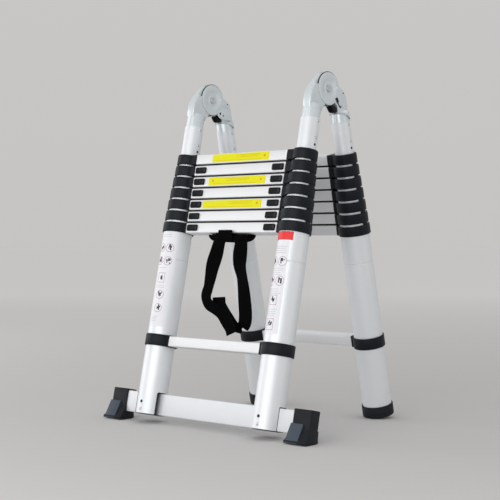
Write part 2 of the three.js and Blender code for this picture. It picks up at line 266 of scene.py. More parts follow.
def prism(outline, low, high, edge=0.0, steps=2):
    """An outline in XY made thick along Z, with rounded rims of the given size."""
    rings = []
    for i in range(steps + 1):
        angle = math.pi / 2 * i / steps
        ring = inset(outline, edge * (1 - math.sin(angle))) if edge else outline
        rings.append([(x, y, low + edge * (1 - math.cos(angle))) for x, y in ring])
        if not edge:
            break
    top = [[(x, y, high - (z - low)) for x, y, z in ring] for ring in reversed(rings)]
    return loft(rings + top)


def make_piece(name, part, matrix, body, material, sharp=32):
    mesh = part if isinstance(part, bpy.types.Mesh) else mesh_from(name, *part)
    piece = bpy.data.objects.new(name, mesh)
    bpy.context.scene.collection.objects.link(piece)
    piece.matrix_world = matrix
    if not mesh.materials:
        mesh.shade_smooth()
        mesh.set_sharp_from_angle(angle=math.radians(sharp))
        mesh.materials.append(material)
    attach(piece, body)
    return piece


def solid_object(part):
    mesh = mesh_from("cutting_solid", *part)
    solid = bpy.data.objects.new("cutting_solid", mesh)
    bpy.context.scene.collection.objects.link(solid)
    build = bmesh.new()
    build.from_mesh(mesh)
    bmesh.ops.remove_doubles(build, verts=build.verts, dist=1e-6)
    bmesh.ops.recalc_face_normals(build, faces=build.faces)
    build.to_mesh(mesh)
    build.free()
    return solid


def carve(part, joins=(), cuts=(), bevel=0.0, segments=2, angle=35):
    """One mesh from a solid with others joined to it and cut from it, then bevelled."""
    base = solid_object(part)
    helpers = []
    for operation, others in (("UNION", joins), ("DIFFERENCE", cuts)):
        for other in others:
            helper = solid_object(other)
            helpers.append(helper)
            modifier = base.modifiers.new(operation, "BOOLEAN")
            modifier.operation = operation
            modifier.solver = "EXACT"
            modifier.object = helper
    if bevel:
        modifier = base.modifiers.new("edges", "BEVEL")
        modifier.width = mm(bevel)
        modifier.segments = segments
        modifier.limit_method = "ANGLE"
        modifier.angle_limit = math.radians(angle)
        modifier.use_clamp_overlap = True
    bpy.context.view_layer.update()
    graph = bpy.context.evaluated_depsgraph_get()
    mesh = bpy.data.meshes.new_from_object(base.evaluated_get(graph))
    for helper in helpers + [base]:
        bpy.data.objects.remove(helper)
    return mesh


# ---- materials ----
def new_material(name, colour, metallic, roughness):
    material = bpy.data.materials.new(name)
    material.use_nodes = True
    shader = material.node_tree.nodes["Principled BSDF"]
    shader.inputs["Base Color"].default_value = (*colour, 1)
    shader.inputs["Metallic"].default_value = metallic
    shader.inputs["Roughness"].default_value = roughness
    return material, material.node_tree, shader


def object_space(tree, scale):
    """Object coordinates in metres, stretched by a scale on each axis."""
    source = tree.nodes.new("ShaderNodeTexCoord")
    mapping = tree.nodes.new("ShaderNodeMapping")
    mapping.inputs["Scale"].default_value = scale
    tree.links.new(source.outputs["Object"], mapping.inputs["Vector"])
    return mapping.outputs["Vector"]


def noise(tree, vector, scale, detail=3.0, roughness=0.5):
    node = tree.nodes.new("ShaderNodeTexNoise")
    node.inputs["Scale"].default_value = scale
    node.inputs["Detail"].default_value = detail
    node.inputs["Roughness"].default_value = roughness
    tree.links.new(vector, node.inputs["Vector"])
    return node.outputs["Fac"]


def spread(tree, value, low, high, from_low=0.3, from_high=0.7):
    node = tree.nodes.new("ShaderNodeMapRange")
    node.inputs["From Min"].default_value = from_low
    node.inputs["From Max"].default_value = from_high
    node.inputs["To Min"].default_value = low
    node.inputs["To Max"].default_value = high
    tree.links.new(value, node.inputs["Value"])
    return node.outputs["Result"]


def tint(tree, value, first, second):
    node = tree.nodes.new("ShaderNodeMix")
    node.data_type = "RGBA"
    node.inputs["A"].default_value = (*first, 1)
    node.inputs["B"].default_value = (*second, 1)
    tree.links.new(value, node.inputs["Factor"])
    return node.outputs["Result"]


def bump(tree, shader, height, distance, strength=1.0):
    node = tree.nodes.new("ShaderNodeBump")
    node.inputs["Distance"].default_value = distance
    node.inputs["Strength"].default_value = strength
    tree.links.new(height, node.inputs["Height"])
    tree.links.new(node.outputs["Normal"], shader.inputs["Normal"])
    return node


def edge_wear(tree, width=0.0006):
    """0 on flats and 1 on convex edges, from the surface's own shape."""
    bevel = tree.nodes.new("ShaderNodeBevel")
    bevel.samples = 4
    bevel.inputs["Radius"].default_value = width
    geometry = tree.nodes.new("ShaderNodeNewGeometry")
    dot = tree.nodes.new("ShaderNodeVectorMath")
    dot.operation = "DOT_PRODUCT"
    tree.links.new(bevel.outputs["Normal"], dot.inputs[0])
    tree.links.new(geometry.outputs["Normal"], dot.inputs[1])
    return spread(tree, dot.outputs["Value"], 1, 0, 0.92, 1.0)


def brushed_aluminium(name, colour, along, metallic=0.75, roughness=0.36):
    """Clear-anodised extrusion: fine die lines along one axis and slow cloudy variation."""
    material, tree, shader = new_material(name, colour, metallic, roughness)
    stretch = [60.0, 60.0, 60.0]
    stretch["xyz".index(along)] = 1.2
    lines = noise(tree, object_space(tree, stretch), 22, 4, 0.6)
    clouds = noise(tree, object_space(tree, (1, 1, 1)), 9, 3, 0.55)
    darker = tuple(c * 0.93 for c in colour)
    tree.links.new(tint(tree, clouds, darker, colour), shader.inputs["Base Color"])
    tree.links.new(
        spread(tree, lines, roughness - 0.05, roughness + 0.07), shader.inputs["Roughness"]
    )
    bump(tree, shader, lines, 0.00004, 0.35)
    return material


def cast_aluminium(name, colour, paler):
    """Die-cast arms under a thin silver coat: soft mottling and a fine pebbled skin."""
    material, tree, shader = new_material(name, colour, 0.3, 0.3)
    space = object_space(tree, (1, 1, 1))
    mottle = noise(tree, space, 16, 3, 0.5)
    grain = noise(tree, space, 1500, 2, 0.5)
    tree.links.new(tint(tree, mottle, colour, paler), shader.inputs["Base Color"])
    tree.links.new(spread(tree, mottle, 0.27, 0.33), shader.inputs["Roughness"])
    bump(tree, shader, grain, 0.00005, 0.2)
    return material


def steel(name="zinc_steel", colour=(0.7, 0.71, 0.72), roughness=0.28):
    material, tree, shader = new_material(name, colour, 1.0, roughness)
    specks = noise(tree, object_space(tree, (1, 1, 1)), 420, 3, 0.6)
    darker = tuple(c * 0.86 for c in colour)
    tree.links.new(tint(tree, specks, darker, colour), shader.inputs["Base Color"])
    tree.links.new(spread(tree, specks, roughness, roughness + 0.14), shader.inputs["Roughness"])
    return material


def moulded_plastic(name, colour, worn, roughness=0.46, grain_size=2600):
    """Spark-textured nylon: fine grain, faint flow marks, slightly polished edges."""
    material, tree, shader = new_material(name, colour, 0.0, roughness)
    shader.inputs["Specular IOR Level"].default_value = 0.22
    space = object_space(tree, (1, 1, 1))
    flow = noise(tree, space, 26, 3, 0.5)
    grain = noise(tree, space, grain_size, 2, 0.6)
    base = tint(tree, flow, tuple(c * 0.82 for c in colour), tuple(c * 1.22 for c in colour))
    mix = tree.nodes.new("ShaderNodeMix")
    mix.data_type = "RGBA"
    mix.inputs["B"].default_value = (*worn, 1)
    tree.links.new(base, mix.inputs["A"])
    tree.links.new(edge_wear(tree), mix.inputs["Factor"])
    tree.links.new(mix.outputs["Result"], shader.inputs["Base Color"])
    tree.links.new(spread(tree, grain, roughness - 0.04, roughness + 0.1), shader.inputs["Roughness"])
    bump(tree, shader, grain, 0.0001, 0.4)
    return material


def rubber(name, colour, dusty):
    """Moulded rubber: a matt dusty bloom over a dark ground."""
    material, tree, shader = new_material(name, colour, 0.0, 0.6)
    shader.inputs["Specular IOR Level"].default_value = 0.25
    space = object_space(tree, (1, 1, 1))
    bloom = noise(tree, space, 40, 5, 0.65)
    grain = noise(tree, space, 1400, 2, 0.6)
    tree.links.new(tint(tree, bloom, colour, dusty), shader.inputs["Base Color"])
    tree.links.new(spread(tree, bloom, 0.48, 0.7), shader.inputs["Roughness"])
    bump(tree, shader, grain, 0.00012, 0.5)
    return material


def webbing():
    """Black polypropylene strap: crosswise ribs and a fine lengthwise yarn, from UVs in metres."""
    material, tree, shader = new_material("woven_webbing", (0.002, 0.002, 0.0022), 0.0, 0.85)
    shader.inputs["Specular IOR Level"].default_value = 0.04
    source = tree.nodes.new("ShaderNodeTexCoord")
    waves = []
    for direction, scale in (("X", 70.0), ("Y", 110.0)):
        wave = tree.nodes.new("ShaderNodeTexWave")
        wave.bands_direction = direction
        wave.inputs["Scale"].default_value = scale
        wave.inputs["Distortion"].default_value = 0.6
        wave.inputs["Detail Scale"].default_value = 3.0
        tree.links.new(source.outputs["UV"], wave.inputs["Vector"])
        waves.append(wave.outputs["Fac"])
    product = tree.nodes.new("ShaderNodeMath")
    product.operation = "MULTIPLY"
    tree.links.new(waves[0], product.inputs[0])
    tree.links.new(waves[1], product.inputs[1])
    weave = product.outputs["Value"]
    tree.links.new(
        tint(tree, weave, (0.0008, 0.0008, 0.001), (0.0042, 0.0042, 0.0048)),
        shader.inputs["Base Color"],
    )
    bump(tree, shader, weave, 0.0005, 0.8)
    return material


def printed_film(name, colour, roughness=0.35):
    """Vinyl sticker: slightly uneven ink under a thin clear film."""
    material, tree, shader = new_material(name, colour, 0.0, roughness)
    shader.inputs["Specular IOR Level"].default_value = 0.2
    shader.inputs["Coat Weight"].default_value = 0.06
    shader.inputs["Coat Roughness"].default_value = 0.2
    ink = noise(tree, object_space(tree, (1, 1, 1)), 240, 3, 0.55)
    darker = tuple(c * 0.95 for c in colour)
    tree.links.new(tint(tree, ink, darker, colour), shader.inputs["Base Color"])
    return material


TUBE_METAL = brushed_aluminium("anodised_tube", (0.855, 0.88, 0.91), "z", 0.32, 0.42)
RUNG_METAL = brushed_aluminium("anodised_rung", (0.87, 0.88, 0.9), "x", 0.4, 0.42)
BAR_METAL = brushed_aluminium("anodised_bar", (0.8, 0.82, 0.85), "x", 0.4, 0.42)
CASTING = cast_aluminium("cast_aluminium", (0.69, 0.755, 0.785), (0.73, 0.785, 0.81))
# a paler copy of the casting for the lugs and dimples: painted highlight
BRIGHT_CASTING = cast_aluminium("casting_painted_highlight", (0.88, 0.93, 0.95), (0.93, 0.97, 0.99))
STEEL = steel()
DARK_STEEL = steel("blackened_steel", (0.05, 0.05, 0.055), 0.4)
COLLAR_PLASTIC = moulded_plastic("collar_nylon", (0.0042, 0.0062, 0.0105), (0.02, 0.026, 0.038))
BUMPER_PLASTIC = moulded_plastic("bumper_strip", (0.003, 0.004, 0.006), (0.01, 0.012, 0.016), 0.6)
LATCH_PLASTIC = moulded_plastic("latch_nylon", (0.002, 0.0028, 0.0035), (0.018, 0.022, 0.026), 0.34)
RUBBER = rubber("moulded_rubber", (0.0045, 0.006, 0.009), (0.012, 0.015, 0.02))
# a lighter copy of the foot rubber for the toe wedge: painted highlight where its sloped facet faces the light
FACET_RUBBER = rubber("rubber_painted_highlight", (0.052, 0.068, 0.092), (0.074, 0.092, 0.12))
WEBBING = webbing()
YELLOW_FILM = printed_film("yellow_film", (0.83, 0.8, 0.005))
ORANGE_INK = printed_film("orange_ink", (0.72, 0.5, 0.01))
PALE_FILM = printed_film("pale_film", (0.88, 0.885, 0.93))
GREY_INK = printed_film("grey_ink", (0.5, 0.5, 0.56))
RED_INK = printed_film("red_ink", (0.86, 0.05, 0.05))
MAROON_INK = printed_film("maroon_ink", (0.42, 0.22, 0.27))
DARK_INK = printed_film("dark_ink", (0.03, 0.03, 0.035))


# ---- tubes ----
def pipe_profile(outer, inner, low, high, edge=0.5, seam=None):
    """A tube wall with eased rims, and a pressed seam line round it where asked."""
    outside = [(outer - edge, low), (outer, low + edge)]
    if seam is not None:
        outside += [(outer, seam - 2.2), (outer - 1.2, seam - 0.8)]
        outside += [(outer - 1.2, seam + 0.8), (outer, seam + 2.2)]
    outside += [(outer, high - edge), (outer - edge, high)]
    inside = [(inner + edge / 2, high), (inner, high - edge), (inner, low + edge)]
    return outside + inside + [(inner + edge / 2, low)]


SEAM_LEVEL = 405.0


def sliding_tube_mesh(section):
    level = rung_level(section)
    last = section == SECTIONS
    top = PIVOT_LEVEL - HINGE_LEDGE - 0.4 if last else level + COLLAR_HEIGHT / 2 - 1.2
    outer = tube_radius(section)
    low = level - TUBE_BELOW_COLLAR
    profile = pipe_profile(outer, outer - WALL, low, top)
    return mesh_from(f"tube_{section}", *lathe(profile, 56))


def base_tube_mesh(notched):
    top = rung_level(1) + COLLAR_HEIGHT / 2 - 1.2
    profile = pipe_profile(BASE_RADIUS, BASE_RADIUS - WALL, 0.2, top, 0.5, SEAM_LEVEL)
    tube = lathe(profile, 72)
    if not notched:
        return carve(tube)
    outline = rounded_rectangle(
        BAR_FRONT - NOTCH_ROOM, BAR_BACK + NOTCH_ROOM, -30, BAR_HEIGHT + 2 * NOTCH_ROOM, 3.5
    )
    notch = turned(prism(outline, -60, 60), (2, 0, 1))
    return carve(tube, cuts=[notch])


def make_tubes():
    sliding = {section: sliding_tube_mesh(section) for section in range(2, SECTIONS + 1)}
    for half in AT_HINGE:
        base = base_tube_mesh(half == "front")
        for side in SIDES:
            piece = make_piece(
                f"{half}_tube_{side}_1",
                base,
                on_stile(half, side),
                f"{half}_base",
                TUBE_METAL,
            )
            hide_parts(f"{half}_base_tube_{side}")
            for section, mesh in sliding.items():
                make_piece(
                    f"{half}_tube_{side}_{section}",
                    mesh,
                    on_stile(half, side),
                    body_of(half, section),
                    TUBE_METAL,
                )


# ---- collars ----
def collar_outline(radius):
    """Seen from above: a round ring that runs into a block on its -x side."""
    depth = CONNECTOR_DEPTH / 2
    open_angle = math.pi - math.asin(depth / radius)
    steps = 60
    outline = []
    for i in range(steps + 1):
        angle = -open_angle + 2 * open_angle * i / steps
        outline.append((radius * math.cos(angle), radius * math.sin(angle)))
    shoulder = outline[-1][0]
    corner = 2.2
    block = []
    for i in range(5):
        block.append((shoulder + (corner - CONNECTOR_REACH - shoulder) * i / 4, depth))
    for i in range(1, 5):
        angle = math.pi / 2 + math.pi / 2 * i / 4
        block.append(
            (
                corner - CONNECTOR_REACH + corner * math.cos(angle),
                depth - corner + corner * math.sin(angle),
            )
        )
    lower = [(x, -y) for x, y in reversed(block)]
    return outline + block[1:] + lower[:-1]


def collar_mesh(name, radius, inner, height, lipped):
    outline = collar_outline(radius)
    half = height / 2
    edge = 1.1
    steps = [(-half, edge), (-half + edge * 0.35, edge * 0.35), (-half + edge, 0)]
    if lipped:
        # a shallow step round the collar, just under its upper rim
        steps += [(half - 5.2, 0), (half - 4.8, 0.45)]
        steps += [(half - edge - 0.4, 0.45), (half - 0.3, 0.9), (half, 1.6)]
    else:
        steps += [(half - edge, 0), (half - edge * 0.35, edge * 0.35), (half, edge)]
    rings = []
    for level, distance in steps:
        rings.append([(x, y, level) for x, y in inset(outline, distance)])

    def bore(bore_radius, level):
        ring = []
        for x, y in outline:
            length = math.hypot(x, y)
            ring.append((bore_radius * x / length, bore_radius * y / length, level))
        return ring

    rings += [bore(inner + 1.0, half), bore(inner, half - 1.0)]
    rings += [bore(inner, 1.0 - half), bore(inner + 1.0, -half)]
    return mesh_from(name, *loft(rings, loop=True))


def stand_off_mesh(section):
    """The small pad that holds the next collar up, on the stile's outboard side."""
    outer = collar_radius(section + 1) - 0.8
    inner = tube_radius(section + 1) + 0.3
    low = COLLAR_HEIGHT / 2 - 0.6
    high = STACK_PITCH - COLLAR_HEIGHT / 2 - 0.15
    outline = []
    for i in range(7):
        angle = math.radians(-12 + 4 * i)
        outline.append((outer * math.cos(angle), outer * math.sin(angle)))
    for i in range(7):
        angle = math.radians(12 - 4 * i)
        outline.append((inner * math.cos(angle), inner * math.sin(angle)))
    return mesh_from(f"stand_off_{section}", *prism(outline, low, high, 0.4, 1))


def make_collars():
    for section in range(1, SECTIONS + 1):
        inner = tube_radius(section) + 0.1
        ring = collar_mesh(f"collar_{section}", collar_radius(section), inner, COLLAR_HEIGHT, True)
        pad = stand_off_mesh(section) if section < SECTIONS else None
        for half in AT_HINGE:
            for side in SIDES:
                place = on_stile(half, side, rung_level(section))
                body = body_of(half, section)
                name = f"{half}_collar_{side}_{section}"
                make_piece(name, ring, place, body, COLLAR_PLASTIC)
                if pad:
                    name = f"{half}_stand_off_{side}_{section}"
                    make_piece(name, pad, place, body, COLLAR_PLASTIC)
    fixed = collar_mesh(
        "collar_fixed", COLLAR_RADIUS, BASE_RADIUS + 0.1, FIXED_COLLAR_HEIGHT, False
    )
    for half in AT_HINGE:
        for side in SIDES:
            make_piece(
                f"{half}_fixed_collar_{side}",
                fixed,
                on_stile(half, side, FIXED_RUNG_LEVEL),
                f"{half}_base",
                COLLAR_PLASTIC,
            )


# ---- rungs ----
def rung_section(ribbed):
    """The rung's cross-section as (depth, height) points, with grip ribs on its upper face."""
    depth, height = RUNG_DEPTH / 2, RUNG_HEIGHT / 2
    outline = rounded_rectangle(-depth, depth, -height, height, 2.6, 4)
    if not ribbed:
        return outline
    ribs = []
    count = 8
    step = (RUNG_DEPTH - 9) / count
    for i in range(count):
        start = depth - 4.5 - i * step
        ribs += [
            (start - 0.15 * step, height),
            (start - 0.3 * step, height - 0.9),
            (start - 0.7 * step, height - 0.9),
            (start - 0.85 * step, height),
        ]
    after_corner = 2 * 5
    return outline[:after_corner] + ribs + outline[after_corner:]


def along_x(outline, half, edge=0.0):
    return turned(prism(outline, -half, half, edge, 1), (2, 0, 1))


def make_rungs():
    half_length = SPACING / 2 - CONNECTOR_REACH + 0.8
    ribbed = mesh_from("ribbed_rung", *along_x(rung_section(True), half_length))
    plain = mesh_from("stack_rung", *along_x(rung_section(False), half_length))
    low = RUNG_HEIGHT / 2 - 0.4
    strip_outline = rounded_rectangle(
        -BUMPER_DEPTH / 2, BUMPER_DEPTH / 2, low, low + 0.4 + BUMPER_HEIGHT, 1.2, 3
    )
    strip = mesh_from("bumper", *along_x(strip_outline, half_length))
    for half in AT_HINGE:
        place = STILES[half] @ Matrix.Translation(mm(0, 0, FIXED_RUNG_LEVEL))
        fixed = make_piece(
            f"{half}_rung_fixed", ribbed, place, f"{half}_base", RUNG_METAL
        )
        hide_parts(f"{half}_fixed_rung")
        for section in range(1, SECTIONS + 1):
            place = STILES[half] @ Matrix.Translation(mm(0, 0, rung_level(section)))
            body = body_of(half, section)
            mesh = ribbed if section == SECTIONS else plain
            rung = make_piece(
                f"{half}_rung_{section}", mesh, place, body, RUNG_METAL
            )
            stands_for = f"{half}_base_rung" if section == 1 else f"{half}_section_{section}"
            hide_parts(stands_for)
            if section < SECTIONS:
                name = f"{half}_bumper_{section}"
                make_piece(name, strip, place, body, BUMPER_PLASTIC)


# ---- latches ----
def latch_mesh():
    """A thumb pad: round-cornered, crowned, with three shallow finger ribs near one end."""
    outline = rounded_rectangle(
        -LATCH_WIDTH / 2, LATCH_WIDTH / 2, -LATCH_HEIGHT / 2, LATCH_HEIGHT / 2, 4.2, 6
    )
    levels = [(0.0, 0.0), (1.6, 0.0), (2.7, 0.35), (3.4, 1.1), (3.75, 2.2), (3.3, 3.0), (3.05, 4.4)]
    rings = [[(x, y, z) for x, y in inset(outline, d)] for z, d in levels]
    pad = loft(rings)
    ribs = []
    for i in range(4):
        centre = -8.0 + 4.2 * i
        rib = rounded_rectangle(centre - 0.7, centre + 0.7, -4.2, 4.2, 0.65, 3)
        ribs.append(prism(rib, 2.6, 3.75, 0.4, 2))
    return mesh_from("latch", *turned(merge(pad, *ribs), (0, 2, 1)))


def make_latches():
    mesh = latch_mesh()
    mesh.flip_normals()
    centre = SPACING / 2 - CONNECTOR_REACH - LATCH_FROM_CONNECTOR - LATCH_WIDTH / 2
    face = -RUNG_DEPTH / 2 - 0.35
    for half in AT_HINGE:
        for side in SIDES:
            way = local_side(half, side)
            for section in range(1, SECTIONS):
                place = (
                    STILES[half]
                    @ Matrix.Translation(mm(way * centre, face, rung_level(section)))
                    @ Matrix.Scale(-1, 4, (0, 1, 0))
                    @ Matrix.Scale(way, 4, (1, 0, 0))
                )
                node = f"{half}_latch_{side}_{section}"
                piece = make_piece(
                    f"{half}_pad_{side}_{section}",
                    mesh,
                    place,
                    node,
                    LATCH_PLASTIC,
                )
                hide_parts(node)


# ---- the stabiliser bar and its feet ----
def make_bar():
    outline = rounded_rectangle(BAR_FRONT, BAR_BACK, 0, BAR_HEIGHT, 2.2, 4)
    mesh = mesh_from("bar", *along_x(outline, BAR_HALF))
    bar = make_piece("bar_extrusion", mesh, STILES["front"], "front_base", BAR_METAL)
    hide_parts("stabiliser_bar")


def from_level(y, z):
    """From level lengths, y from a tube's lower end and z from the floor, to the front half."""
    rise = z - PIVOT.z * 1000
    run = y - PIVOT_OFFSET * math.cos(LEAN) - PIVOT_LEVEL * math.sin(LEAN)
    return (
        run * math.cos(LEAN) - rise * math.sin(LEAN) + PIVOT_OFFSET,
        run * math.sin(LEAN) + rise * math.cos(LEAN) + PIVOT_LEVEL,
    )


SLEEVE_INNER = 282.0
SLEEVE_OUTER = 336.0
SLEEVE_WALL = 4.2
SLEEVE_BOTTOM = -9.0
SOLE_TOE = 33.0
SOLE_HEEL = 17.0
WEDGE_WIDTH = 37.0


def flared(part, centre):
    """Spreads a sole's sides outward toward the floor."""
    points, faces = part
    bottom = min(z for _, _, z in points)
    top = max(z for _, _, z in points)
    spread_points = []
    for x, y, z in points:
        share = (top - z) / (top - bottom)
        spread_points.append((centre + (x - centre) * (1 + 0.16 * share), y, z))
    return spread_points, faces


def foot_mesh(side):
    low = SLEEVE_INNER if side > 0 else -SLEEVE_OUTER
    high = SLEEVE_OUTER if side > 0 else -SLEEVE_INNER
    front, back = BAR_FRONT - SLEEVE_WALL, BAR_BACK + SLEEVE_WALL
    top = BAR_HEIGHT + SLEEVE_WALL
    plan = rounded_rectangle(low, high, front, back, 3.2, 4)
    sleeve = prism(plan, SLEEVE_BOTTOM, top, 2.2, 3)
    sole_outline = [
        from_level(-SOLE_TOE, 3),
        from_level(-SOLE_TOE * 0.6, 0.5),
        from_level(-SOLE_TOE * 0.15, 0.1),
        from_level(SOLE_HEEL * 0.5, 0.1),
        from_level(SOLE_HEEL, 1.8),
        from_level(SOLE_HEEL, 7),
        (back - 0.3, SLEEVE_BOTTOM + 22),
        (front + 0.3, SLEEVE_BOTTOM + 24),
        from_level(-27, 12),
        from_level(-SOLE_TOE, 8),
    ]
    sole = turned(prism(sole_outline, low - 1, high + 1), (2, 0, 1))
    sole = flared(sole, (low + high) / 2)
    open_end = low - 5 if side > 0 else low + SLEEVE_WALL
    blind_end = high - SLEEVE_WALL if side > 0 else high + 5
    hole = rounded_rectangle(BAR_FRONT - 0.2, BAR_BACK + 0.2, -0.2, BAR_HEIGHT + 0.2, 2.2, 3)
    pocket = turned(prism(hole, open_end, blind_end), (2, 0, 1))
    grooves = []
    for i in range(3):
        y, z = from_level(-20 + 13 * i, -1)
        slot = [(y - 1.6, z), (y + 1.6, z), (y + 1.0, z + 3.2), (y - 1.0, z + 3.2)]
        grooves.append(turned(prism(slot, low - 4, high + 4), (2, 0, 1)))
    return carve(sleeve, joins=[sole], cuts=[pocket] + grooves, bevel=1.0, segments=2)


def toe_wedge_mesh(side):
    """The sloping block on the inner part of a foot's front."""
    low = SLEEVE_INNER if side > 0 else -SLEEVE_OUTER
    front = BAR_FRONT - SLEEVE_WALL
    outline = [
        from_level(-SOLE_TOE - 1, 4),
        from_level(-6, 4),
        (front + 2, SLEEVE_BOTTOM + 34),
        (front - 2.2, SLEEVE_BOTTOM + 34),
    ]
    return carve(turned(prism(outline, low - 2, low - 2 + WEDGE_WIDTH), (2, 0, 1)), bevel=1.0, segments=2)


def make_feet():
    for name, side in SIDES.items():
        foot = make_piece(
            f"sleeve_foot_{name}",
            foot_mesh(side),
            STILES["front"],
            "front_base",
            RUBBER,
            40,
        )
        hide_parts(f"foot_{name}")
        # the wedge's lighter rubber is painted highlight on the lit facet
        make_piece(
            f"toe_wedge_{name}",
            toe_wedge_mesh(side),
            STILES["front"],
            "front_base",
            FACET_RUBBER,
            40,
        )


def make_end_caps():
    radius = 41.5
    lift = PIVOT.z * 1000 - PIVOT_LEVEL * math.cos(LEAN) + PIVOT_OFFSET * math.sin(LEAN)
    below = (lift - radius * math.sin(LEAN)) / math.cos(LEAN)
    above = 19.0
    profile = [
        (0.01, -below),
        (radius - 6, -below),
        (radius - 1.2, -below + 0.2),
        (radius - 0.1, -below + 1.4),
        (radius, -below + 9),
        (radius - 0.9, -below + 9.6),
        (radius - 0.9, -below + 11.2),
        (radius, -below + 11.8),
        (radius, above - 2.2),
        (radius - 0.8, above - 0.7),
        (radius - 2.2, above),
        (BASE_RADIUS + 0.35, above),
        (BASE_RADIUS + 0.15, above - 1),
        (BASE_RADIUS + 0.15, -0.2),
        (0.01, -0.2),
    ]
    mesh = mesh_from("end_cap", *lathe(profile, 72))
    for side in SIDES:
        cap = make_piece(
            f"end_cap_{side}", mesh, on_stile("back", side), "back_base", RUBBER
        )
        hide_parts(f"back_cap_{side}")
    for side in SIDES:
        plug_profile = [(0.01, -1.6), (30, -1.6), (32, -0.9), (36.2, -0.9), (36.2, 6), (0.01, 6)]
        plug = mesh_from("tube_plug", *lathe(plug_profile, 48))
        make_piece(
            f"tube_plug_{side}",
            carve_notch(plug),
            on_stile("front", side),
            "front_base",
            COLLAR_PLASTIC,
        )


def notch_outline(room):
    """The bar's section with a little room all round."""
    return rounded_rectangle(BAR_FRONT - room, BAR_BACK + room, -room, BAR_HEIGHT + 2 * room, 3.0)


def make_notch_shade_strips():
    """Black strips that line the notches where the bar passes through the front tubes, filling their gaps:
    painted shade for the dark gaps.
    """
    outer = turned(prism(notch_outline(NOTCH_ROOM - 0.1), -37.2, 37.2), (2, 0, 1))
    inner = turned(prism(notch_outline(0.1), -50, 50), (2, 0, 1))
    gap_shade_strip = carve(outer, cuts=[inner])
    for side in SIDES:
        make_piece(
            f"notch_gasket_{side}",
            gap_shade_strip,
            on_stile("front", side),
            "front_base",
            COLLAR_PLASTIC,
        )


def carve_notch(mesh):
    """Cuts the bar's passage out of a mesh that closes the front tube's lower end."""
    points = [tuple(v.co * 1000) for v in mesh.vertices]
    faces = [tuple(face.vertices) for face in mesh.polygons]
    outline = rounded_rectangle(BAR_FRONT - 0.3, BAR_BACK + 0.3, -0.3, BAR_HEIGHT, 2.0)
    passage = turned(prism(outline, -60, 60), (2, 0, 1))
    return carve((points, faces), cuts=[passage])


# ---- hinges ----
FRONT_PLATE = [
    (-18, -64),
    (-9, -47),
    (-3, -38),
    (-3, -1.5),
    (-54.5, -1.5),
    (-59, -9),
    (-66.3, -24),
    (-67.8, -34),
    (-67.5, -57),
    (-65, -64),
]
BEAK = [
    (-56, -1.5),
    (-54, 3),
    (-40.5, 24),
    (-35, 30),
    (-28, 34.5),
    (-18, 37.5),
    (0, 30),
    (0, -30),
    (-30, -30),
]
BACK_PLATE = [
    (-24.5, -66),
    (-24.5, -47),
    (-17, -38),
    (-3, -30),
    (-3, -1.5),
    (-45.5, -1.5),
    (-56.5, -11.5),
    (-63.5, -24),
    (-65.8, -34),
    (-65.5, -60),
    (-63.5, -66),
]


def across(outline, low, high, edge=0.0, steps=2):
    """An outline of (y, z) points made thick along X."""
    return turned(prism(outline, low, high, edge, steps), (2, 0, 1))


def disc(radius, low, high, segments=72, edge=0.0):
    outline = [
        (
            radius * math.cos(2 * math.pi * i / segments),
            radius * math.sin(2 * math.pi * i / segments),
        )
        for i in range(segments)
    ]
    return across(outline, low, high, edge)


def ccw(outline):
    area = 0.0
    for i, (a, b) in enumerate(outline):
        c, d = outline[(i + 1) % len(outline)]
        area += a * d - b * c
    return outline if area > 0 else list(reversed(outline))


def shoulder(top):
    """The round part of an arm that plugs into the top tube, with its crown at a given level."""
    outer = tube_radius(SECTIONS) - WALL - 0.25
    profile = [
        (0.01, -HINGE_LEDGE - 30),
        (outer, -HINGE_LEDGE - 30),
        (outer, top - 5),
        (outer - 1.5, top - 1.6),
        (outer - 5, top),
        (0.01, top),
    ]
    return shifted(lathe(profile, 64), dy=-PIVOT_OFFSET)


def dished_cheek(low, high, outward):
    """A cheek disc whose outer face is dished round a raised centre boss."""
    depth = high - low
    profile = [
        (0.01, 0),
        (CHEEK_RADIUS - 0.4, 0),
        (CHEEK_RADIUS, 0.4),
        (CHEEK_RADIUS, depth - 2.2),
        (CHEEK_RADIUS - 0.7, depth - 0.9),
        (CHEEK_RADIUS - 2.4, depth - 0.1),
        (36, depth),
        (31, depth - 0.05),
        (27.5, depth - 0.5),
        (24.5, depth - 1.5),
        (21.5, depth - 2.6),
        (18, depth - 3.2),
        (13.5, depth - 3.4),
        (12.6, depth - 2.9),
        (0.01, depth - 2.9),
    ]
    points, faces = lathe(profile, 96)
    if outward > 0:
        return [(low + z, x, y) for x, y, z in points], faces
    return [(high - z, -x, y) for x, y, z in points], faces


def as_part(mesh):
    """A mesh's points and faces, back in millimetres."""
    points = [tuple(vertex.co * 1000) for vertex in mesh.vertices]
    return points, [tuple(face.vertices) for face in mesh.polygons]


def front_arm_mesh():
    plate = across(ccw(FRONT_PLATE), -HINGE_HALF, HINGE_HALF, 2.2, 3)
    clear = disc(CLEAR_RADIUS, -40, 40)
    body = carve(plate, joins=[shoulder(-52)], cuts=[clear])
    web = across(ccw(FRONT_PLATE), -HUB_HALF, HUB_HALF)
    beak = across(ccw(BEAK), -HUB_HALF, HUB_HALF, 1.4, 2)
    hub = disc(HUB_RADIUS, -HUB_HALF, HUB_HALF, 96, 0.8)
    bore = disc(7.3, -40, 40, 32)
    return carve(as_part(body), joins=[web, beak, hub], cuts=[bore])


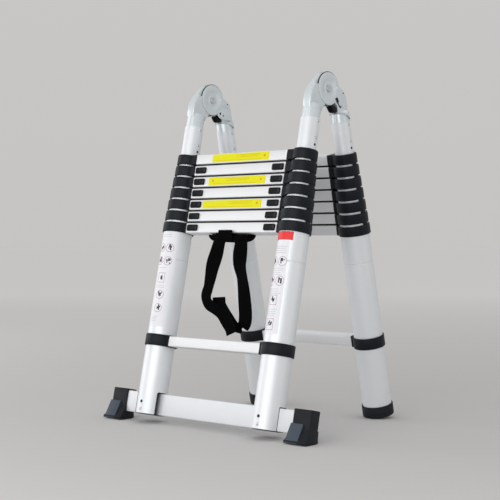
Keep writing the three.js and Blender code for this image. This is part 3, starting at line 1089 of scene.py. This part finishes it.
def crown():
    """The bright lip that laps down over the tube's outer side, longest at the stile's back."""
    outer = tube_radius(SECTIONS) + 1.5
    profile = [
        (0.01, -94),
        (outer - 1.0, -94),
        (outer, -93),
        (outer, -70),
        (outer - 0.8, -67.8),
        (outer - 4, -66),
        (0.01, -65.3),
    ]
    sleeve = shifted(lathe(profile, 64), dy=-PIVOT_OFFSET)
    above = [(-75, -90.5), (-60, -86.5), (-47, -79), (-38, -72), (-30, -68.5), (-10, -66), (-10, -60)]
    keep = across(ccw([*above, (-75, -60)]), -40, 40)
    bore = shifted(lathe([(0.01, -100), (24.95, -100), (24.95, -67), (0.01, -67)], 64), dy=-PIVOT_OFFSET)
    base = solid_object(sleeve)
    for operation, other in (("INTERSECT", keep), ("DIFFERENCE", bore)):
        helper = solid_object(other)
        modifier = base.modifiers.new(operation, "BOOLEAN")
        modifier.operation = operation
        modifier.solver = "EXACT"
        modifier.object = helper
    bpy.context.view_layer.update()
    graph = bpy.context.evaluated_depsgraph_get()
    return as_part(bpy.data.meshes.new_from_object(base.evaluated_get(graph)))


def back_arm_mesh():
    plate = across(ccw(BACK_PLATE), -HINGE_HALF, HINGE_HALF, 2.2, 3)
    relief = disc(CHEEK_RADIUS - 2.5, -40, 40)
    body = carve(plate, joins=[shoulder(-65.2)], cuts=[relief])
    lip = crown()
    for leftover in [thing for thing in bpy.data.objects if thing.name.startswith("cutting")]:
        bpy.data.objects.remove(leftover)
    cheeks = [
        dished_cheek(SLOT_HALF, HINGE_HALF, 1),
        dished_cheek(-HINGE_HALF, -SLOT_HALF, -1),
    ]
    slot = disc(41.2, -SLOT_HALF, SLOT_HALF)
    # the front arm's beak swings into this open slot when the ladder is laid out straight
    sweep = [(0, 0), (0, 58)]
    for i in range(13):
        angle = math.radians(100 + 116 * i / 12)
        sweep.append((58 * math.cos(angle), 58 * math.sin(angle)))
    for degrees, radius in ((217, 48.5), (225, 48.2), (234, 47), (242, 45.2), (250, 43.5)):
        angle = math.radians(degrees)
        sweep.append((radius * math.cos(angle), radius * math.sin(angle)))
    beak_room = across(ccw(sweep), -SLOT_HALF, SLOT_HALF)
    bore = disc(7.3, -40, 40, 32)
    pocket = across([(-26.8, -64.3), (5, -64.3), (5, -43), (-26.8, -43)], -9.2, 9.2)
    return carve(as_part(body), joins=[lip, *cheeks], cuts=[slot, beak_room, pocket, bore])


def pin_mesh():
    """A shaft with a flat ring head at each end, dimpled in the middle."""
    reach = HINGE_HALF + 0.9
    half = [
        (0.01, reach - 1.5),
        (2.2, reach - 1.4),
        (3.6, reach - 0.3),
        (5.0, reach),
        (7.6, reach - 0.2),
        (8.8, reach - 1.2),
        (9.2, reach - 3.2),
        (7.0, reach - 3.2),
    ]
    lower = [(r, -z) for r, z in reversed(half)]
    points, faces = lathe(half + lower, 48, loop=False)
    return [(z, x, y) for x, y, z in points], faces


def lever_mesh(way):
    """A pressed plate with a rolled bright rim along its nose; its two small holes are not cut here but drawn as
    dark discs in make_releases, painted shade.
    """
    outline = ccw(
        [(-60, -22), (-45, -23.5), (-23, -28.5), (-13, -35), (-10.5, -41.5), (-18, -51), (-37, -58), (-60, -64.5)]
    )
    face = HINGE_HALF + 0.4
    low, high = (-face - 1.4, -face) if way > 0 else (face, face + 1.4)
    plate = across(outline, low, high, 0.5, 2)
    rim_line = [(-59.5, -21.5), (-45, -22.8), (-30, -25.6), (-20, -28.8), (-13, -33.4), (-9.8, -38)]
    rim_line += [(-9.4, -43), (-12.4, -47.8), (-18, -52.2), (-28, -56.2), (-38, -59.2), (-59.5, -65)]
    centre = low - 0.2 if way > 0 else high + 0.2
    rim = tube_along([(centre, y, z) for y, z in rim_line], 1.8, 12)
    return merge(plate, rim)


def tube_along(line, radius, sides):
    """A round bar with domed ends along a line of points."""
    path = [Vector(point) for point in line]
    rings = []
    for i, point in enumerate(path):
        before, after = path[max(i - 1, 0)], path[min(i + 1, len(path) - 1)]
        forward = (after - before).normalized()
        side = forward.cross(Vector((1, 0, 0)))
        if side.length < 0.1:
            side = forward.cross(Vector((0, 1, 0)))
        side.normalize()
        up = side.cross(forward).normalized()
        ring = []
        for k in range(sides):
            angle = 2 * math.pi * k / sides
            offset = side * math.cos(angle) + up * math.sin(angle)
            ring.append(tuple(point + offset * radius))
        rings.append(ring)
    ends = [(0, -1), (len(path) - 1, 1)]
    for index, way in ends:
        neighbour = path[1] if way < 0 else path[-2]
        forward = (path[index] - neighbour).normalized()
        small = [
            tuple(path[index] + (Vector(p) - path[index]) * 0.6 + forward * radius * 0.5)
            for p in rings[0 if way < 0 else -1]
        ]
        if way < 0:
            rings.insert(0, small)
        else:
            rings.append(small)
    return loft(rings)


def button_mesh():
    outline = ccw(
        [(-3, -45), (-9, -44), (-15, -44.5), (-22.5, -50), (-23.5, -63), (-15.5, -63.5), (-9, -57.5)]
    )
    body = across(outline, -8.6, 8.6, 1.2, 3)
    ribs = []
    for i in range(3):
        y, z = -5.6 - 2.2 * i, -49.5 - 4.2 * i
        rib = ccw([(y, z), (y + 3.0, z - 1.0), (y + 2.4, z - 2.4), (y - 1, z - 1.8)])
        ribs.append(across(rib, -7, 7, 0.4, 1))
    return mesh_from("button", *merge(body, *ribs))


def dome(radius, height, segments=24):
    profile = [(0.01, 0), (radius, 0)]
    for i in range(1, 5):
        angle = math.pi / 2 * i / 4
        profile.append((max(0.01, radius * math.cos(angle)), height * math.sin(angle)))
    return lathe(profile, segments)


def hinge_frame(half, side):
    """The frame on a hinge's axis, at the middle of one side's arm."""
    along = local_side(half, side) * SPACING / 2
    return AT_HINGE[half] @ Matrix.Translation(mm(along, 0, 0))


def make_arms():
    front_mesh, back_mesh = front_arm_mesh(), back_arm_mesh()
    pin = mesh_from("pin", *pin_mesh())
    for side in SIDES:
        for half, mesh in (("front", front_mesh), ("back", back_mesh)):
            arm = make_piece(
                f"{half}_arm_{side}",
                mesh,
                hinge_frame(half, side),
                body_of(half, SECTIONS),
                CASTING,
                34,
            )
            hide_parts(f"hinge_{half}_arm_{side}")
        back = body_of("back", SECTIONS)
        rivet = make_piece(f"apex_pin_{side}", pin, hinge_frame("back", side), back, STEEL)
        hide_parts(f"hinge_pin_{side}")


def make_releases():
    """The thumb lever on each hinge's inboard face, and the button in the crotch."""
    button = button_mesh()
    for side in SIDES:
        place = hinge_frame("back", side)
        lever = mesh_from(f"lever_{side}", *lever_mesh(local_side("back", side)))
        piece = make_piece(f"release_lever_{side}", lever, place, f"lever_{side}", CASTING)
        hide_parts(f"hinge_lever_{side}")
        # the lever's holes are flat dark discs: painted shade for the holes
        holes = []
        inward = -local_side("back", side)
        for y, z, radius in ((-18.5, -39.5, 3.6), (-29.5, -46.5, 2.5), (-50, -30, 1.2)):
            flat = shifted(dome(radius, 0.5, 20), dz=HINGE_HALF + 1.7)
            points, faces = flat
            holes.append(([(inward * c, a + y, b + z) for a, b, c in points], faces))
        mesh = mesh_from(f"lever_holes_{side}", *merge(*holes))
        make_piece(f"lever_holes_{side}", mesh, place, f"lever_{side}", DARK_STEEL)
        piece = make_piece(
            f"release_button_{side}",
            button,
            place,
            f"button_{side}",
            LATCH_PLASTIC,
        )
        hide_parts(f"hinge_button_{side}")


def ellipsoid(half_x, half_y, half_z, rows=14, columns=28):
    """A closed rounded lump."""
    rings = []
    for i in range(1, rows):
        polar = math.pi * i / rows
        rings.append(
            [
                (
                    half_x * math.sin(polar) * math.cos(2 * math.pi * k / columns),
                    half_y * math.sin(polar) * math.sin(2 * math.pi * k / columns),
                    -half_z * math.cos(polar),
                )
                for k in range(columns)
            ]
        )
    return loft(rings)


def dark_washer(way):
    """A thin ring round a cheek's inner edge, in the gap before the front arm."""
    inner, outer = CHEEK_RADIUS - 0.4, CLEAR_RADIUS - 0.25
    near, far = HUB_HALF + 0.5, HUB_HALF + 2.4
    points, faces = lathe([(inner, near), (inner, far), (outer, far), (outer, near)], 96, loop=True)
    return [(way * z, way * x, y) for x, y, z in points], faces


CATCH_LINE = [
    (-24, -30),
    (-25.5, -36),
    (-27, -41.5),
    (-29.5, -47),
    (-32, -52),
    (-35, -53),
    (-38, -49.5),
]


def make_catches():
    """The bent spring catch on each hinge's outboard face, dark washers, studs and dimples."""
    washer = mesh_from("washer", *merge(dark_washer(1), dark_washer(-1)))
    lug_part = mesh_from("lug", *ellipsoid(12.2, 12.5, 8.5))
    for side in SIDES:
        place = hinge_frame("back", side)
        out = local_side("back", side)
        face = out * (HINGE_HALF + 0.2)
        spring = tube_along([(face, y, z) for y, z in CATCH_LINE], 1.5, 10)
        pad = across(ccw([(-18.5, -28), (-27, -25.5), (-31, -37.5), (-23, -41)]), -1.1, 1.1, 0.4, 1)
        parts = merge(spring, shifted(pad, dx=face))
        make_piece(
            f"spring_catch_{side}",
            mesh_from(f"spring_catch_{side}", *parts),
            place,
            body_of("back", SECTIONS),
            DARK_STEEL,
        )
        for face_name, way in (("out", out), ("in", -out)):
            turn = Matrix.Rotation(math.pi / 2 * way, 4, "Y")
            at = place @ Matrix.Translation(mm(way * (HINGE_HALF - 0.1), -30, -3)) @ turn
            dimple = mesh_from(f"dimple_{side}_{face_name}", *dome(3.6, 1.6))
            body = body_of("back", SECTIONS)
            # the dimple's paler casting is painted highlight
            make_piece(f"dimple_{side}_{face_name}", dimple, at, body, BRIGHT_CASTING)
            at = place @ Matrix.Translation(mm(way * (HINGE_HALF - 0.1), -55, -19)) @ turn
            stud = mesh_from(f"stud_{side}_{face_name}", *dome(2.0, 0.8))
            make_piece(f"stud_{side}_{face_name}", stud, at, body, DARK_STEEL)
        # the lug's paler casting is painted highlight
        lug_place = place @ Matrix.Translation(mm(out * 12.5, -44.5, -68.5))
        body = body_of("back", SECTIONS)
        make_piece(f"shoulder_lug_{side}", lug_part, lug_place, body, BRIGHT_CASTING, 50)
        make_piece(
            f"cheek_washer_{side}",
            washer,
            place,
            body_of("back", SECTIONS),
            DARK_STEEL,
        )
        # an oil hole in the rim of each cheek, drawn as a dark dome: painted shade for the hole
        front = hinge_frame("front", side)
        tilt = Matrix.Rotation(math.radians(21), 4, "X")
        for way in (-1, 1):
            at = front @ Matrix.Translation(mm(way * 9.7, -14.9, 38.8)) @ tilt
            oil_hole = mesh_from(f"oil_hole_{side}", *dome(2.3, 1.2))
            make_piece(f"oil_hole_{side}_{way + 1}", oil_hole, at, body, DARK_STEEL)


def make_hinges():
    make_arms()
    make_releases()
    make_catches()


# ---- the carry strap ----
def strap_origin():
    run = STACK_LEVEL - PIVOT_LEVEL
    return PIVOT + mm(
        0,
        run * math.sin(LEAN) - PIVOT_OFFSET * math.cos(LEAN),
        run * math.cos(LEAN) + PIVOT_OFFSET * math.sin(LEAN),
    )


def smooth_path(points, per_span=8):
    """A curve through the points, sampled evenly between each pair."""
    path = [Vector(p) for p in points]
    ends = [path[0] * 2 - path[1]] + path + [path[-1] * 2 - path[-2]]
    result = []
    for i in range(1, len(ends) - 2):
        a, b, c, d = ends[i - 1 : i + 3]
        for k in range(per_span):
            t = k / per_span
            result.append(
                (
                    2 * b
                    + (c - a) * t
                    + (2 * a - 5 * b + 4 * c - d) * t**2
                    + (3 * b - a - 3 * c + d) * t**3
                )
                / 2
            )
    result.append(path[-1])
    return result


def ribbon(name, line, widths, thick=1.6, sides=None):
    """A flat strap along a line; sides gives the strap's width direction at each point."""
    count = 10
    mesh_points, faces, coordinates = [], [], []
    path = smooth_path(line)
    across_path = smooth_path(sides)
    width_path = smooth_path([(w, 0, 0) for w in widths])
    rings = []
    travelled = 0.0
    distances = []
    for i, point in enumerate(path):
        if i:
            travelled += (point - path[i - 1]).length
        distances.append(travelled)
        forward = (path[min(i + 1, len(path) - 1)] - path[max(i - 1, 0)]).normalized()
        sideways = across_path[i]
        sideways = (sideways - forward * sideways.dot(forward)).normalized()
        normal = forward.cross(sideways).normalized()
        width = width_path[i].x
        ring = []
        for face in (1, -1):
            for k in range(count + 1):
                s = (k / count - 0.5) * face
                edge = 1 - 0.55 * (abs(s) * 2) ** 8
                bow = 0.9 * math.sin(3 * s + i * 0.21)
                ring.append(point + sideways * s * width + normal * (face * thick / 2 * edge + bow))
        rings.append([tuple(p) for p in ring])
    mesh_points, faces = loft(rings)
    mesh = mesh_from(name, mesh_points, faces)
    uv = mesh.uv_layers.new(name="UVMap")
    per_ring = 2 * (count + 1)
    for loop in mesh.loops:
        ring_index, k = divmod(loop.vertex_index, per_ring)
        k = k if k <= count else per_ring - 1 - k
        uv.data[loop.index].uv = (mm(k / count * 40), mm(distances[ring_index]))
    return mesh


STRAP_FRONT = -RUNG_DEPTH / 2 - 4.6


def lay_out(rows, lift):
    """Splits rows of (x, z, out, width, tilt, twist) into a strap's path, widths and sides."""
    line = [(x, STRAP_FRONT - lift - out, z) for x, z, out, width, tilt, twist in rows]
    widths = [row[3] for row in rows]
    sides = []
    for row in rows:
        tilt, twist = math.radians(row[4]), math.radians(row[5])
        flat = math.cos(twist)
        sides.append((flat * math.cos(tilt), math.sin(twist), flat * math.sin(tilt)))
    return line, widths, sides


LEFT_STRAP = [
    # x, z, forward, width, tilt, twist
    (-24, -16, 1.0, 40, 0, 0),
    (-32, -38, 1.2, 40, -4, 0),
    (-42, -64, 0.4, 40, -4, 6),
    (-56, -94, -0.8, 40, -6, 10),
    (-63, -124, 0.0, 38, -6, 4),
    (-69, -150, 1.4, 36, -4, -6),
    (-76, -172, 2.4, 38, 4, -8),
    (-69, -191, 2.6, 36, 38, -6),
    (-48, -203, 2.0, 31, 52, -2),
    (-25, -214, 1.4, 33, 50, 2),
    (-7, -232, 0.8, 38, 40, 4),
    (6, -250, 0.4, 40, 24, 0),
    (12, -265, 0.2, 40, 0, 0),
]
RIGHT_STRAP = [
    (39, -16, 0.0, 40, 0, 0),
    (38, -38, 0.2, 40, 0, 4),
    (35, -64, 0.8, 41, 2, 8),
    (33, -90, 0.2, 42, -8, 2),
    (40, -120, -0.6, 42, -10, -8),
    (46, -150, 0.0, 40, -4, -4),
    (50, -182, 0.6, 39, -4, 4),
    (53, -212, 0.8, 40, -2, 8),
    (52, -234, 1.4, 38, 8, 10),
    (43, -248, 2.2, 30, 34, 10),
    (29, -250, 3.0, 24, 62, 6),
    (15, -242, 3.4, 27, 48, 2),
    (1, -230, 3.2, 33, 40, 0),
    (-15, -214, 2.8, 38, 32, -2),
    (-29, -198, 2.2, 40, 20, -2),
    (-36, -184, 1.4, 43, 4, 0),
    (-37, -174, 1.0, 43, 0, 0),
]


def make_strap():
    """The carry strap's two hanging ends, and its bound turns under the lowest stack rung."""
    place = Matrix.Translation(strap_origin())
    for name, rows, lift in (("left", LEFT_STRAP, 0.0), ("right", RIGHT_STRAP, -5.2)):
        line, widths, sides = lay_out(rows, lift)
        mesh = ribbon(f"strap_{name}", line, widths, 1.8, sides)
        piece = make_piece(f"strap_{name}", mesh, place, "front_base", WEBBING, 60)
        if name == "left":
            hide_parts("carry_strap")
    make_bundle(place)


def make_bundle(place):
    """The strap's folded turns, bound up under the rung, with a loop over the rung's front."""
    top = -RUNG_HEIGHT / 2 - 1.0
    depth = RUNG_DEPTH / 2 + 5.2
    low, high, height = -77, 61, 20.0
    layers, steps, around = 3, 40, 48
    rings = []
    for i in range(steps + 1):
        along = -math.cos(math.pi * i / steps)
        squeeze = max(0.16, (1 - abs(along) ** 5) ** 0.6)
        droop = height / 2 * squeeze + 0.6 * math.sin(3 * along)
        ring = []
        for k in range(around):
            angle = 2 * math.pi * k / around
            y = math.copysign(abs(math.cos(angle)) ** 0.5, math.cos(angle))
            z = math.copysign(abs(math.sin(angle)) ** 0.6, math.sin(angle))
            groove = 1.1 * abs(math.cos(layers * math.pi / 2 * (z + 1))) * abs(y)
            reach = depth * (0.55 + 0.45 * squeeze) - 1.2 + groove
            ring.append((0.0, y * reach, top - droop + z * height / 2 * squeeze))
        x = (low + high) / 2 + (high - low) / 2 * along
        rings.append([(x, y, z) for _, y, z in ring])
    mesh = mesh_from("bundle", *loft(rings))
    box_uv(mesh)
    piece = make_piece("strap_bundle", mesh, place, "front_base", WEBBING, 60)
    rows = [
        (-9, -30, 0.6, 46, 0, 0),
        (-9, -20, 2.0, 50, 0, 0),
        (-9, -10, 2.0, 49, 0, 0),
        (-9, -2.5, 1.2, 46, 0, 0),
    ]
    line, widths, sides = lay_out(rows, 1.0)
    loop = ribbon("strap_loop", line, widths, 2.4, sides)
    piece = make_piece("strap_loop", loop, place, "front_base", WEBBING, 60)


def box_uv(mesh):
    """UVs in metres, along X and round the section."""
    uv = mesh.uv_layers.new(name="UVMap")
    for loop in mesh.loops:
        point = mesh.vertices[loop.vertex_index].co
        uv.data[loop.index].uv = (point.y + point.z, point.x)


# ---- small hardware ----
def facing_x(half, side, section_radius, way, level):
    """A frame on a stile's surface whose Z points out along the stile's own +x or -x."""
    return (
        on_stile(half, side, level)
        @ Matrix.Translation(mm(way * section_radius, 0, 0))
        @ Matrix.Rotation(math.pi / 2 * way, 4, "Y")
    )


def make_rivets():
    """Dome rivets on the top tubes, and a screw and a rivet at each front tube's foot."""
    head = mesh_from("rivet", *dome(3.8, 2.5))
    dark_head = mesh_from("dark_rivet", *dome(3.2, 1.8))
    radius = tube_radius(SECTIONS) - 0.15
    for half in AT_HINGE:
        for side in SIDES:
            for way, word in ((-1, "in"), (1, "out")):
                rows = ((-98, head, STEEL), (-140, head, STEEL), (-158, dark_head, DARK_STEEL))
                for index, (level, mesh, material) in enumerate(rows):
                    place = facing_x(half, side, radius, way, PIVOT_LEVEL + level)
                    name = f"{half}_rivet_{side}_{word}_{index}"
                    make_piece(name, mesh, place, body_of(half, SECTIONS), material)
    bolt_profile = [(0.01, 0.7), (1.6, 0.7), (2.0, 0.3), (3.4, 0.9), (3.9, 0.4), (3.9, -1), (0.01, -1)]
    bolt = mesh_from("bolt", *lathe(bolt_profile, 24))
    for side in SIDES:
        rows = (("bolt", 30, bolt, DARK_STEEL), ("foot_rivet", 11, head, STEEL))
        for name, level, mesh, material in rows:
            place = (
                on_stile("front", side, level)
                @ Matrix.Rotation(0 if SIDES[side] > 0 else math.pi, 4, "Z")
                @ Matrix.Translation(mm(0, -BASE_RADIUS + 0.2, 0))
                @ Matrix.Rotation(math.pi / 2, 4, "X")
            )
            make_piece(f"{name}_{side}", mesh, place, "front_base", material)


# ---- stickers, with plain shapes and no lettering ----
def flat_patch(x_low, x_high, z_low, z_high, lift, corner=0.6):
    """A thin film on the rung's outward face."""
    outline = rounded_rectangle(x_low, x_high, z_low, z_high, corner, 3)
    film = prism(outline, 0, lift)
    points, faces = film
    face = -RUNG_DEPTH / 2
    return [(x, face - z, y) for x, y, z in points], faces


LABEL_SPANS = {7: (0.185, 0.815), 5: (0.18, 0.81), 3: (0.15, 0.805)}
LABEL_LINES = ((0.08, 0.86, -7.2), (0.5, 0.84, 3.6), (0.42, 0.84, 6.2), (0.44, 0.8, 0.4))


def make_rung_labels():
    """Yellow films on three front rungs, with thin rules and a triangle in darker ink."""
    inner_edge = SPACING / 2 - CONNECTOR_REACH
    for section, (start, end) in LABEL_SPANS.items():
        place = STILES["front"] @ Matrix.Translation(mm(0, 0, rung_level(section)))
        low = inner_edge * (2 * start - 1)
        high = inner_edge * (2 * end - 1)
        length = high - low
        rules = []
        for row, (a, b, z) in enumerate(LABEL_LINES):
            shift = -0.12 if section == 5 and row else 0.0
            left, right = low + length * (a + shift), low + length * (b + shift)
            rules.append(flat_patch(left, right, z, z + 1.0, 0.3, 0.2))
        parts = [
            ("film", flat_patch(low, high, -10.6, 10.6, 0.25, 1.2), YELLOW_FILM),
            ("rules", merge(*rules), ORANGE_INK),
        ]
        corners = [(0, 3.6), (-3.2, -2.0), (3.2, -2.0)]
        for index, centre in enumerate((high - 15, low + 15) if section == 5 else (high - 15,)):
            points, faces = prism(ccw([(centre + x, 1.4 + y) for x, y in corners]), 0, 0.32)
            face = -RUNG_DEPTH / 2
            triangle = [(x, face - z, y) for x, y, z in points], faces
            parts.append((f"mark_{index}", triangle, RED_INK))
        for label, part, material in parts:
            name = f"label_{section}_{label}"
            mesh = mesh_from(name, *part)
            make_piece(name, mesh, place, body_of("front", section), material)


def wrapped_patch(angle_low, angle_high, z_low, z_high, lift, steps=None):
    """A thin film wrapped on the base tube; angles are degrees from straight ahead."""
    steps = steps or max(2, int((angle_high - angle_low) / 4))
    rings = []
    for i in range(steps + 1):
        angle = math.radians(-90 + angle_low + (angle_high - angle_low) * i / steps)
        along = (math.cos(angle), math.sin(angle))
        inner, outer = BASE_RADIUS + 0.02, BASE_RADIUS + lift
        rings.append(
            [
                (inner * along[0], inner * along[1], z_low),
                (outer * along[0], outer * along[1], z_low),
                (outer * along[0], outer * along[1], z_high),
                (inner * along[0], inner * along[1], z_high),
            ]
        )
    return loft(rings)


def ring_mark(angle, z, radius, lift, thick=0.9):
    """A round outline drawn on the base tube."""
    outer_ring, inner_ring = [], []
    for i in range(28):
        turn = 2 * math.pi * i / 28
        for ring, size in ((outer_ring, radius), (inner_ring, radius - thick)):
            a = math.radians(-90 + angle) + size * math.cos(turn) / BASE_RADIUS
            ring.append((a, z + size * math.sin(turn)))

    def at(ring, r):
        return [(r * math.cos(a), r * math.sin(a), height) for a, height in ring]

    low, high = BASE_RADIUS + 0.1, BASE_RADIUS + lift
    return loft([at(outer_ring, low), at(outer_ring, high), at(inner_ring, high), at(inner_ring, low)], loop=True)


def framed_mark(angle, z, half_turn, half_height, lift, thick=1.0):
    """A rectangle outline drawn on the base tube."""
    thick_turn = math.degrees(thick / BASE_RADIUS)
    left, right = angle - half_turn, angle + half_turn
    low, high = z - half_height, z + half_height
    return merge(
        wrapped_patch(left, left + thick_turn, low, high, lift),
        wrapped_patch(right - thick_turn, right, low, high, lift),
        wrapped_patch(left, right, low, low + thick, lift),
        wrapped_patch(left, right, high - thick, high, lift),
    )


def blots(centre, z, seed):
    """A few plain dark bars at odd angles, standing for a pictogram."""
    draw = random.Random(seed)
    bars = []
    for _ in range(8):
        a = centre + draw.uniform(-9, 6)
        b = z + draw.uniform(-7.5, 3)
        bars.append(wrapped_patch(a, a + draw.uniform(3, 6), b, b + draw.uniform(3, 7.5), 0.3, 2))
    return merge(*bars)


def text_rules(left, right, top, count, draw, pitch=5.2):
    """Thin grey rules where fine print would be."""
    return [
        wrapped_patch(left, right - draw.uniform(0, 14), top - pitch * k - 0.9, top - pitch * k, 0.3)
        for k in range(count)
    ]


def make_tube_stickers():
    """Pale stickers with rings, frames and rules on the front base tubes, and a red tag."""
    draw = random.Random(4)
    left = STILES["front"] @ Matrix.Translation(mm(-SPACING / 2, 0, 0))
    right = STILES["front"] @ Matrix.Translation(mm(SPACING / 2, 0, 0))
    rings, dark, rules = {"left": [], "right": []}, {"left": [], "right": []}, {}
    # (side, angle, level, radius)
    for side, angle, z, radius in (
        ("left", 21, 434, 11.5),
        ("left", -18, 434, 11.5),
        ("left", 21, 399, 11.5),
        ("left", -18, 399, 11.5),
        ("left", 8, 309, 11.5),
        ("left", 8, 274, 11.5),
        ("right", 9, 403, 12),
        ("right", -31, 403, 12),
        ("right", 9, 355, 12),
        ("right", -31, 355, 12),
    ):
        rings[side].append(ring_mark(angle, z, radius, 0.3, 1.0))
        dark[side].append(blots(angle, z, int(z + angle)))
    for side, angle, z, half_turn, half_height in (
        ("left", 2, 354, 17, 13),
        ("right", -10, 308, 18, 12),
        ("right", -10, 249, 17, 14),
    ):
        rings[side].append(framed_mark(angle, z, half_turn, half_height, 0.3, 0.9))
        dark[side].append(blots(angle, z, int(z + angle)))
    rules["left"] = text_rules(-22, 26, 470, 2, draw)
    rules["left"] += text_rules(-22, 26, 381, 1, draw) + text_rules(-22, 24, 334, 2, draw)
    rules["left"] += text_rules(-14, 20, 252, 4, draw, 4)
    rules["right"] = text_rules(-42, 23, 440, 4, draw) + text_rules(-42, 22, 386, 4, draw)
    rules["right"] += text_rules(-42, 22, 335, 3, draw) + text_rules(-42, 20, 286, 4, draw)
    pieces = [
        ("sticker_left", wrapped_patch(-46, 50, 226, 476, 0.2), left, PALE_FILM),
        ("sticker_right", wrapped_patch(-50, 28, 226, 454, 0.2), right, PALE_FILM),
        ("tag_red", wrapped_patch(-49, 38, 456, 477, 0.35), right, RED_INK),
    ]
    for side, place in (("left", left), ("right", right)):
        pieces.append((f"rings_{side}", merge(*rings[side]), place, MAROON_INK))
        pieces.append((f"marks_{side}", merge(*dark[side]), place, DARK_INK))
        pieces.append((f"rules_{side}", merge(*rules[side]), place, GREY_INK))
    for name, part, place, material in pieces:
        make_piece(name, mesh_from(name, *part), place, "front_base", material)


# ---- the room ----
def make_floor():
    """A pale studio floor that meets the pale backdrop without a line; its colour is darker near the ladder,
    painted shade that evens out the lamps' light there.
    """
    points = [(-60000, -60000, -0.2), (60000, -60000, -0.2), (60000, 60000, -0.2)]
    points.append((-60000, 60000, -0.2))
    floor = bpy.data.objects.new("floor", mesh_from("floor", points, [(0, 1, 2, 3)]))
    bpy.context.scene.collection.objects.link(floor)
    material, tree, shader = new_material("floor_painted_shade", (0.93, 0.925, 0.915), 0.0, 0.9)
    shader.inputs["Specular IOR Level"].default_value = 0.1
    distance = tree.nodes.new("ShaderNodeVectorMath")
    distance.operation = "LENGTH"
    tree.links.new(object_space(tree, (1, 1, 1)), distance.inputs[0])
    # darker near the middle: painted shade against the light pool of the boxes
    fade = spread(tree, distance.outputs["Value"], 0, 1, 0.8, 7.0)
    tree.links.new(tint(tree, fade, (0.655, 0.647, 0.64), (0.93, 0.92, 0.91)), shader.inputs["Base Color"])
    floor.data.materials.append(material)


def area_light(name, place, aim, width, height, power, colour=(1, 1, 1)):
    light = bpy.data.lights.new(name, "AREA")
    light.shape = "RECTANGLE"
    light.size, light.size_y = width, height
    light.energy = power
    light.color = colour
    lamp = bpy.data.objects.new(name, light)
    bpy.context.scene.collection.objects.link(lamp)
    lamp.location = place
    lamp.rotation_euler = (Vector(aim) - Vector(place)).to_track_quat("-Z", "Y").to_euler()


def make_lights():
    """An even pale backdrop that is brighter overhead, a large front box and weak side boxes."""
    world = bpy.data.worlds.new("studio")
    bpy.context.scene.world = world
    world.use_nodes = True
    tree = world.node_tree
    source = tree.nodes.new("ShaderNodeTexCoord")
    split = tree.nodes.new("ShaderNodeSeparateXYZ")
    tree.links.new(source.outputs["Generated"], split.inputs["Vector"])
    height = spread(tree, split.outputs["Z"], 0, 1, 0.0, 1.0)
    sky = tint(tree, height, (0.562, 0.554, 0.544), (0.62, 0.62, 0.622))
    tree.links.new(sky, tree.nodes["Background"].inputs["Color"])
    area_light("front_box", (0.5, -3.1, 1.15), (0, 0, 0.5), 3.6, 1.6, 41)
    area_light("left_box", (-3.4, -1.4, 1.05), (0, 0, 0.5), 3.2, 1.7, 25)
    area_light("right_box", (3.4, 0.9, 1.0), (0, 0, 0.45), 1.6, 1.8, 4)


def make_camera():
    """A long lens at eye level with the ladder's waist, out past the right front foot."""
    data = bpy.data.cameras.new("camera")
    data.sensor_width = 36
    data.lens = 36 * 1216.7 / 500
    data.clip_end = 60
    camera = bpy.data.objects.new("camera", data)
    bpy.context.scene.collection.objects.link(camera)
    camera.location = PIVOT + Vector((2.0738, -2.4252, -0.3731))
    yaw, pitch = math.radians(41.26), math.radians(0.59)
    camera.rotation_euler = (math.pi / 2 - pitch, 0, yaw)
    bpy.context.scene.camera = camera


bpy.context.scene.view_settings.view_transform = "Standard"
make_camera()
make_lights()
make_floor()
make_tubes()
make_collars()
make_rungs()
make_latches()
make_bar()
make_feet()
make_end_caps()
make_notch_shade_strips()
make_hinges()
make_strap()
make_rivets()
make_rung_labels()
make_tube_stickers()
